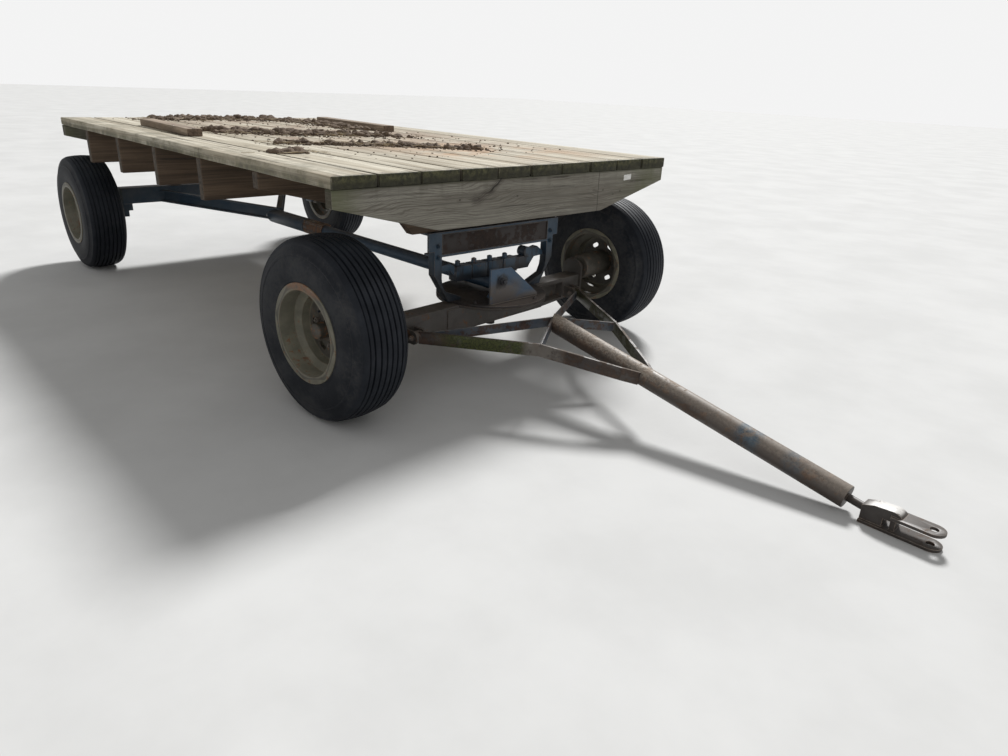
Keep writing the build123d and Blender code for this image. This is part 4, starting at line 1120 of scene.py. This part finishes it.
RIM = rim_finish()
LIP = bead_circle(0.1262, 0.2106, 0.0040, 14)
for name, (centre, out) in WHEELS.items():
    rim = rounded("rim_" + name, 0.0015, RIM, 40.0)
    mark_wheel(rim, centre, out)
    for side, label in ((1, "outer"), (-1, "inner")):
        lip = ring(f"rim_{name}_lip_{label}", LIP * np.array([side, 1.0]), centre, out, RIM,
                   "wheel_" + name, 96, 60.0)
        mark_wheel(lip, centre, out)
    print(rim.name, len(rim.data.polygons), "faces")

# %% [markdown]
# ## Bolts, nuts and nails
#
# A bolt head is a hexagon with its corners turned off, on a round washer, with the
# bolt's end standing out. One template is worked out as a grid, rings along its axis,
# and placed many times by one multiplication, so all bolts of a body are one piece.

# %% Bolt and nail templates


def hexagon(flats, height, washer, stud):
    """Rings (height, radius, share of hexagon) of a nut on a washer; 24 points round each ring."""
    half = flats / 2
    rows = np.array([
        (0.0, washer, 0), (0.0022, washer, 0), (0.0022, half * 0.98, 1), (height * 0.82, half, 1),
        (height, half * 0.93, 0.25), (height, stud, 0), (height + stud * 0.9, stud, 0),
        (height + stud * 1.1, stud * 0.75, 0),
    ])
    corner = 1 / np.cos((around(24) + np.pi / 6) % (np.pi / 3) - np.pi / 6)
    return turned(rows[:, 0], rows[:, 1, None] * (1 + rows[:, 2, None] * (corner - 1)), 24)


def dome(radius, height, rings, steps):
    """Rings of a low round head: radius cos t, height sin t, closed by a small flat top."""
    t = np.linspace(0, np.pi / 2 * 0.93, rings)
    heights = np.concatenate([[-height * 0.6], height * np.sin(t)])
    radii = np.concatenate([[radius], radius * np.cos(t)])
    return turned(heights, radii[:, None], steps)


def placed(template, spots, axes, spins=0.0):
    """Copies of a template grid, its z axis on each of the given axes, one grid a spot."""
    spots = np.atleast_2d(np.asarray(spots, float))
    axes = np.broadcast_to(np.asarray(axes, float), spots.shape)
    axes = axes / np.linalg.norm(axes, axis=1, keepdims=True)
    helper = np.where(np.abs(axes[:, 2:]) > 0.8, np.array([1.0, 0, 0]), UP)
    first = np.cross(helper, axes)
    first = first / np.linalg.norm(first, axis=1, keepdims=True)
    second = np.cross(axes, first)
    spins = np.broadcast_to(np.asarray(spins, float), len(spots))[:, None]
    c, s = np.cos(spins), np.sin(spins)
    first, second = c * first + s * second, c * second - s * first
    basis = np.stack([first, second, axes], 1)
    return np.einsum("rcj,njk->nrck", template, basis) + spots[:, None, None]


def bolts(name, sizes, spots, axes, spins, material, body="wagon"):
    """Nuts of one size as one piece; sizes are the hexagon's flats, height, washer and stud."""
    closed_tubes(name, placed(hexagon(*sizes), spots, axes, spins), material, body, 30.0)
    print(name, len(spots))


def spread(centre, out, radius, count, lift, start):
    """Points on a circle round an axle, lifted along it."""
    side = np.cross(out, UP)
    a = start + around(count)[:, None]
    return centre + lift * out + radius * (np.cos(a) * side + np.sin(a) * UP)


print("a nut has", hexagon(0.024, 0.016, 0.0155, 0.0062).shape[:2], "rings and points")

# %% Wheel fasteners
VALVE_CIRCLE = 0.1515
VALVE_LIFT = 0.072
STEM = np.array([(0.0, 0.0055), (0.012, 0.0050), (0.020, 0.0042), (0.030, 0.0040), (0.031, 0.0048),
                 (0.040, 0.0048), (0.041, 0.003)])
for name, (centre, out) in WHEELS.items():
    body = "wheel_" + name
    spots = spread(centre, out, 0.073, 6, 0.008, 0.3)
    bolts("lug_nuts_" + name, (0.024, 0.016, 0.0155, 0.0062), spots, out, np.arange(6) * 0.9, BOLT_STEEL, body)
    cap = placed(dome(0.0345, 0.009, 6, 40), centre + 0.0795 * out, out)
    obj = closed_tubes("hub_cap_" + name, cap - 0.0085 * out, RIM, body, 40.0)
    mark_wheel(obj, centre, out)
    foot = spread(centre, out, VALVE_CIRCLE, 1, VALVE_LIFT, 2.2)
    lean = out - 0.35 * (foot[0] - centre - VALVE_LIFT * out) / VALVE_CIRCLE
    stem = placed(turned(STEM[:, 0], STEM[:, 1:], 14), foot, lean)
    closed_tubes("valve_" + name, stem, RUBBER, body, 35.0)

# %% Nails
rng = np.random.default_rng(7)
lines = np.append(JOIST_LINE + JOIST_PITCH * np.arange(1, -5, -1), -2.7175)
rows = FIRST_BOARD + BOARD_PITCH * np.arange(10)
x, y, side = np.meshgrid(lines, rows, (-NAIL_SIDE, NAIL_SIDE), indexing="ij")
nails = np.stack([x.ravel(), (y + side).ravel(), np.full(x.size, DECK_TOP - 0.0004)], 1)
nails[:, :2] += rng.normal(0, 0.004, (len(nails), 2))
heads = placed(dome(0.0052, 0.0009, 3, 12), nails, UP)
closed_tubes("deck_nails", heads, BOLT_STEEL, "wagon", 60.0)
places = ((-0.436, 0.950), (-0.389, 0.953), (-0.432, 0.837), (-0.389, 0.833))
front = np.array([(HEADER_FACE + 0.0002, y, z) for y, z in places])
heads = placed(dome(0.0055, 0.0004, 3, 12), front, (1.0, 0, 0))
closed_tubes("header_nails", heads, BOLT_STEEL, "wagon", 60.0)
print("nails:", len(nails) + len(front))

# %% [markdown]
# ## Bolts and welds of the gear
#
# The clamp bar is held by four clamps with a bolt through each, the bracket has one
# large nut, and the turning plate shows a few small ones. Welds run where bars meet:
# a bead is a thin tube along the seam, and its radius ripples where the metal froze.

# %% Weld bead
RIPPLE = 0.0052


def weld(points, radius):
    """A tube along a line, its radius times 1 + 0.16 sin of the distance, a ripple each RIPPLE."""
    points = np.asarray(points, float)
    step = np.linalg.norm(np.diff(points, axis=0), axis=1)
    s = np.concatenate([[0], np.cumsum(step)])
    fine = np.linspace(0, s[-1], max(10, int(s[-1] / 0.0016)))
    line = np.stack([np.interp(fine, s, points[:, k]) for k in range(3)], 1)
    along = np.gradient(line, axis=0)
    along = along / np.linalg.norm(along, axis=1, keepdims=True)
    helper = np.where(np.abs(along[:, 2:]) > 0.8, np.array([1.0, 0, 0]), UP)
    first = np.cross(along, helper)
    first = first / np.linalg.norm(first, axis=1, keepdims=True)
    second = np.cross(along, first)
    size = radius * (1 + 0.16 * np.sin(2 * np.pi * fine / RIPPLE))
    size = size * np.clip(np.minimum(fine, s[-1] - fine) / 0.004 + 0.3, 0, 1)
    a = around(8)
    circle = np.cos(a)[None, :, None] * first[:, None] + np.sin(a)[None, :, None] * second[:, None]
    return line[:, None] + size[:, None, None] * circle


print("a bead of 100 mm has", len(weld([(0, 0, 0), (0.1, 0, 0)], 0.004)), "rings")

# %% Gear fasteners
spots = [(FRONT_X + 0.004, y, 0.5495) for y in (-0.234, -0.128, -0.022, 0.084)]
bolts("clamp_nuts", (0.024, 0.017, 0.019, 0.008), spots, UP, [0.2, 0.9, 1.4, 0.5], BAR_STEEL)
spots = [(FRONT_X + 0.2025, -0.118, 0.495)]
bolts("bracket_nut", (0.034, 0.019, 0.027, 0.011), spots, (1.0, 0, 0), [0.25], BRACKET_STEEL)
turn = np.radians([18.0, 95.0, 170.0, 245.0, 300.0])
spots = np.stack([FRONT_X + 0.255 * np.cos(turn), 0.255 * np.sin(turn), np.full(5, 0.3838)], 1)
bolts("turntable_bolts", (0.018, 0.009, 0.012, 0.005), spots, UP, turn * 3, DISC_STEEL)
turn = around(12)
loop = np.stack([0.0045 * np.sin(turn), 0.017 + 0.0045 * np.cos(turn)], 1)
ring("disc_washer", loop, np.array([0.925, 0.02, 0.3878]), UP, BOLT_STEEL, "wagon", 40, 60.0)
spots = [(FRONT_X + 0.040, side * 0.383, z) for side in (-1, 1) for z in (0.665, 0.612)]
bolts("ear_bolts", (0.019, 0.010, 0.013, 0.006), spots, (1.0, 0, 0), [0.1, 0.8, 1.3, 0.4], BLUE_STEEL)
pins = np.array([on_axle(0.100, side * reach, 0.292) for reach in (0.634, 0.556) for side in (-1, 1)])
ends = np.array([side * ACROSS for side in (-1, 1, 1, -1)])
bolts("hinge_nuts", (0.022, 0.011, 0.015, 0.007), pins - 0.003 * ends, ends, [0.2, 0.5, 0.9, 0.3], BOLT_STEEL,
      "front_axle")

# %% [markdown]
# ## Where the welds run
#
# The bracket is welded to the turning plate along its foot, the bolster beam to the
# yoke's top and sides, and the rear bolster to the axle beam that its legs stand on.

# %% Welds
beads = [weld([(FRONT_X + x, -0.188, 0.3855), (FRONT_X + x, 0.136, 0.3855)], 0.0045) for x in (0.194, 0.206)]
beads += [weld([(FRONT_X + side * 0.037, -0.358, 0.7185), (FRONT_X + side * 0.037, 0.358, 0.7185)], 0.004)
          for side in (-1, 1)]
beads += [weld([(FRONT_X + 0.037, side * 0.359, 0.626), (FRONT_X + 0.037, side * 0.359, 0.716)], 0.004)
          for side in (-1, 1)]
closed_tubes("bolster_welds", beads, WELD_STEEL, "wagon", 60.0)
print("front beads:", len(beads))
beads = [weld([(REAR_X + side * 0.052, y, 0.556), (REAR_X + side * 0.052, y + 0.08, 0.556)], 0.004)
         for side in (-1, 1) for y in (-0.43, 0.35)]
closed_tubes("rear_welds", beads, WELD_STEEL, "wagon", 60.0)
print("rear beads:", len(beads))

# %% [markdown]
# ## Dried mud on the deck
#
# Rows of dried mud with straw in it lie where something stood. A clump is a ball of
# points pushed in and out by a few waves and pressed flat; hundreds of them in many
# sizes are strewn along the rows, thick in the middle and thin at the edges.

# %% Clumps


def clump_template(rows, cols):
    """A unit ball as rings of points, its poles cut to small flat faces."""
    t = np.linspace(0.18, np.pi - 0.18, rows)
    return turned(np.cos(t), np.sin(t)[:, None], cols)


def clumps(ball, spots, sizes, rng):
    """
    Balls at the spots: each point moves out by 1 + 0.30 times products of sines of its
    direction, with phases of the ball's own, and the ball is stretched, pressed flat by up
    to a half and turned about z.
    """
    n = len(spots)
    phase = rng.uniform(0, 2 * np.pi, (n, 4))[:, None, None]
    rate = rng.uniform(1.5, 4.5, (n, 4))[:, None, None]
    bx, by, bz = ball[..., 0], ball[..., 1], ball[..., 2]
    push = np.sin(rate[..., 0] * bx + phase[..., 0]) * np.sin(rate[..., 1] * by + phase[..., 1])
    finer = np.sin(rate[..., 2] * 2 * bz + phase[..., 2]) * np.sin(rate[..., 3] * 2 * bx + phase[..., 3])
    push = push + 0.7 * finer
    grown = ball[None] * (1 + 0.30 * push)[..., None]
    press = np.stack([rng.uniform(0.8, 1.4, n), rng.uniform(0.8, 1.3, n), rng.uniform(0.45, 0.8, n)], 1)
    grown = grown * press[:, None, None] * sizes[:, None, None, None]
    angle = rng.uniform(0, 2 * np.pi, n)[:, None, None]
    x = grown[..., 0] * np.cos(angle) - grown[..., 1] * np.sin(angle)
    y = grown[..., 0] * np.sin(angle) + grown[..., 1] * np.cos(angle)
    return np.stack([x, y, grown[..., 2]], -1) + spots[:, None, None]


def mud_finish():
    """Dried brown mud with pale straw flecks."""
    f = Finish("dried_mud")
    tone = f.noise(18.0, 6.0, 0.7)
    fleck = f.noise(1.0, 5.0, 0.8, f.stretched((90.0, 300.0, 200.0), (0.3, 0.2, 0.7)))
    grain = f.noise(320.0, 4.0, 0.7)
    colour = f.mix(f.span(tone, 0.3, 0.7), (0.080, 0.054, 0.037), (0.215, 0.155, 0.108))
    colour = f.mix(f.span(fleck, 0.58, 0.72, 0.0, 0.75), colour, (0.30, 0.225, 0.145))
    return f.finish(colour, f.span(tone, 0.3, 0.7, 0.98, 0.88), f.bump(f.plus(grain, fleck), 0.003))


MUD = mud_finish()
print("mud ready:", MUD.name)

# %% [markdown]
# ## Where the dirt lies
#
# Each row is a line over the deck, a count of clumps, how far they stray from the
# line, and their size. A clump far from the line is smaller. The tallest are pressed
# under a ceiling, the top of the cleats, by a soft limit that keeps them round.

# %% Rows of dirt
ROWS = (
    ([(-2.50, -0.44), (-2.56, -0.05), (-2.46, 0.38)], 210, 0.085, 0.030),
    ([(-2.46, 0.38), (-2.05, 0.60), (-1.30, 0.50)], 190, 0.075, 0.026),
    ([(-1.30, -0.60), (-1.18, -0.36), (-0.98, -0.12), (-0.90, 0.14), (-0.72, 0.40)], 260, 0.070, 0.028),
    ([(-0.44, -0.56), (-0.28, -0.30), (-0.16, -0.06), (0.00, 0.14), (0.22, 0.34)], 190, 0.042, 0.022),
    ([(0.03, -0.83), (0.08, -0.70)], 26, 0.020, 0.026),
)
CEILING = 1.0775
SOFT_FROM = 1.068
SOFT_ROOM = 0.0095
BEDDED = 1.0345
REAR_EDGE = -2.73


def strew(share, scatter, scale, seed):
    """Spots and sizes of clumps: a share of each row's count, off its line, none past the rear edge."""
    rng = np.random.default_rng(seed)
    spots = []
    sizes = []
    for line, count, off_line, size in ROWS:
        line = np.array(line)
        count = int(count * share)
        s = rng.uniform(0, len(line) - 1, count)
        at = np.stack([np.interp(s, np.arange(len(line)), line[:, k]) for k in range(2)], 1)
        off = rng.normal(0, off_line * scatter, (count, 2))
        far = np.linalg.norm(off, axis=1) / (off_line * scatter)
        grown = size * scale * rng.uniform(0.45, 1.2, count) * np.clip(1.35 - 0.40 * far, 0.3, 1.3)
        spots.append(np.column_stack([at + off, DECK_TOP + 0.20 * grown]))
        sizes.append(grown)
    spots, sizes = np.concatenate(spots), np.concatenate(sizes)
    kept = spots[:, 0] - 1.6 * sizes > REAR_EDGE
    return spots[kept], sizes[kept], rng


print("rows of dirt:", len(ROWS))

# %% Clods
spots, sizes, rng = strew(1.0, 1.0, 1.0, 11)
grids = clumps(clump_template(7, 9), spots, sizes, rng)
z = grids[..., 2]
soft = SOFT_FROM + SOFT_ROOM * np.tanh((z - SOFT_FROM) / SOFT_ROOM)
grids[..., 2] = np.clip(np.where(z > SOFT_FROM, soft, z), BEDDED, CEILING)
closed_tubes("deck_mud_clods", list(grids), MUD, "wagon", 60.0)
print("clods:", len(spots), "highest", round(float(grids[..., 2].max()), 4))

# %% Crumbs
LOOSE = 380
crumbs, small, rng = strew(1.5, 1.9, 0.34, 12)
x, y = rng.uniform(-2.6, 0.5, LOOSE), rng.uniform(-0.65, 0.85, LOOSE)
crumbs = np.concatenate([crumbs, np.column_stack([x, y, np.full(LOOSE, DECK_TOP + 0.001)])])
small = np.concatenate([small, rng.uniform(0.002, 0.007, LOOSE)])
grids = clumps(clump_template(5, 7), crumbs, small, rng)
grids[..., 2] = np.clip(grids[..., 2], BEDDED, CEILING)
closed_tubes("deck_mud_crumbs", list(grids), MUD, "wagon", 60.0)
print("crumbs:", len(crumbs))

# %% [markdown]
# ## Straw
#
# Short stalks lie near the clods. Each is a thin tube with five sides along a shallow
# arc, a parabola whose height is a share of its length.

# %% Straw
STALKS = 520
STALK_RADIUS = 0.0011
rng = np.random.default_rng(5)
near = spots[rng.integers(0, len(spots), STALKS)]
at = near[:, :2] + rng.normal(0, 0.05, (STALKS, 2))
angle = rng.uniform(0, np.pi, STALKS)
length = rng.uniform(0.03, 0.13, STALKS)
way = np.stack([np.cos(angle), np.sin(angle), rng.normal(0, 0.05, STALKS)], 1)
s = np.linspace(-0.5, 0.5, 6)
bow = rng.normal(0, 0.10, STALKS)
middle = np.column_stack([at, DECK_TOP + 0.004 + 0.012 * rng.random(STALKS)])
line = middle[:, None] + s[None, :, None] * (length[:, None] * way)[:, None]
normal = np.stack([-np.sin(angle), np.cos(angle), np.zeros(STALKS)], 1)
line = line + (4 * (0.25 - s ** 2)[None, :, None] * (bow * length)[:, None, None]) * normal[:, None]
a = around(5)
section = np.cos(a)[:, None] * UP + np.sin(a)[:, None] * normal[:, None, None]
stalks = line[:, :, None] + STALK_RADIUS * section
stalks[..., 2] = np.clip(stalks[..., 2], DECK_TOP + 0.0005, CEILING - 0.0005)


def straw_finish():
    """Bleached straw, paler on its ridges."""
    f = Finish("straw")
    tone = f.noise(30.0, 4.0, 0.6)
    colour = f.mix(f.span(tone, 0.3, 0.7), (0.33, 0.25, 0.15), (0.52, 0.43, 0.28))
    return f.finish(colour, f.span(tone, 0.3, 0.7, 0.8, 0.6), f.bump(tone, 0.001))


closed_tubes("deck_straw", list(stalks), straw_finish(), "wagon", 60.0)
print("straws:", len(stalks))

# %% [markdown]
# ## Blank tag
#
# A small white card is stapled to the front header. It carries nothing. It is a thin
# sheet with a slight curl, lofted as a grid with a front and a back.

# %% Tag


def tag_finish():
    """White card, yellowed a little by weather."""
    f = Finish("blank_card")
    tone = f.noise(60.0, 4.0, 0.6)
    colour = f.mix(f.span(tone, 0.3, 0.7), (0.62, 0.61, 0.57), (0.76, 0.76, 0.74))
    return f.finish(colour, f.span(tone, 0.3, 0.7, 0.75, 0.6), f.bump(tone, 0.0004))


s = np.linspace(0, 1, 12)
y = 0.742 + 0.062 * s
rear = np.full_like(s, HEADER_FACE - 0.0010)
front = HEADER_FACE + 0.0004 + 0.0008 * np.sin(np.pi * s)
lower = 0.9285 + 0.004 * s
upper = lower + 0.028
corners = ((rear, lower), (front, lower), (front, upper), (rear, upper))
card = np.stack([np.stack([x, y, z], 1) for x, z in corners], 1)
closed_tubes("blank_tag", [card], tag_finish(), "wagon", 30.0)
print("tag placed")

# %% [markdown]
# ## Floor
#
# A pale floor takes the shadow. It lies half a millimetre under the wheels.

# %% Floor
FLOOR_HALF = 60.0
FLOOR_LINES = 24
FLOOR_Z = -0.0005
edge = np.linspace(-FLOOR_HALF, FLOOR_HALF, FLOOR_LINES)
gx, gy = np.meshgrid(edge, edge, indexing="ij")
points = np.stack([gx, gy, np.full_like(gx, FLOOR_Z)], -1).reshape(-1, 3)
number = np.arange(FLOOR_LINES ** 2).reshape(FLOOR_LINES, FLOOR_LINES)
quads = np.stack([number[:-1, :-1], number[1:, :-1], number[1:, 1:], number[:-1, 1:]], -1).reshape(-1, 4)
mesh = bpy.data.meshes.new("floor")
mesh.from_pydata(points.tolist(), [], quads.tolist())
floor = bpy.data.objects.new("floor", mesh)
bpy.context.scene.collection.objects.link(floor)
ground = Finish("studio_floor")
tone = ground.noise(1.4, 5.0, 0.6)
pale = ground.mix(ground.span(tone, 0.3, 0.7), (0.60, 0.60, 0.59), (0.66, 0.66, 0.65))
mesh.materials.append(ground.finish(pale, 0.9))
print("floor laid")

# %% [markdown]
# ## Light
#
# A soft sun stands high at the rear left, so the front of the wagon lies in light
# shade, and a very wide, faint one fills it from the front right. The sky gives less
# light than the camera sees, so shadows keep some depth under a pale background.

# %% Light
SKY_LIGHT = 0.36
SKY_SEEN = 0.90
world = bpy.data.worlds.new("sky")
bpy.context.scene.world = world
world.use_nodes = True
nodes = world.node_tree.nodes
links = world.node_tree.links
background = nodes["Background"]
background.inputs["Color"].default_value = (1.0, 1.0, 1.0, 1.0)
path = nodes.new("ShaderNodeLightPath")
seen = nodes.new("ShaderNodeMath")
seen.operation = "MAXIMUM"
links.new(path.outputs["Is Camera Ray"], seen.inputs[0])
links.new(path.outputs["Is Transmission Ray"], seen.inputs[1])
level = nodes.new("ShaderNodeMapRange")
links.new(seen.outputs[0], level.inputs["Value"])
level.inputs["To Min"].default_value = SKY_LIGHT
level.inputs["To Max"].default_value = SKY_SEEN
links.new(level.outputs["Result"], background.inputs["Strength"])


def lamp(name, towards, width, strength):
    """A soft sun that shines along a direction, its disc width degrees wide."""
    light = bpy.data.lights.new(name, "SUN")
    light.angle = math.radians(width)
    light.energy = strength
    obj = bpy.data.objects.new(name, light)
    obj.rotation_euler = Vector(towards).to_track_quat("-Z", "Y").to_euler()
    bpy.context.scene.collection.objects.link(obj)


lamp("key", (0.541, -0.987, -1.036), 12.0, 3.9)
lamp("fill", (-0.85, 0.60, -0.55), 60.0, 0.25)
print("lamps placed")

# %% [markdown]
# ## Camera
#
# The camera looks from the place that the picture was taken from. Its three axes were
# solved from the wagon's corners, so they are written out as they came.

# %% Camera
camera = bpy.data.cameras.new("camera")
camera.lens = 25.481
camera.sensor_width = 36.0
camera.clip_end = 200.0
eye = bpy.data.objects.new("camera", camera)
rightward = Vector((0.6862, 0.7263, 0.0415))
upward = Vector((-0.3026, 0.2330, 0.9242))
backward = Vector((0.6615, -0.6467, 0.3796))
pose = Matrix((rightward, upward, backward)).transposed().to_4x4()
pose.translation = Vector((3.3409, -2.4645, 1.378))
eye.matrix_world = pose
bpy.context.scene.collection.objects.link(eye)
bpy.context.scene.camera = eye
bpy.context.scene.view_settings.view_transform = "Standard"
print("camera at", [round(v, 3) for v in eye.location])
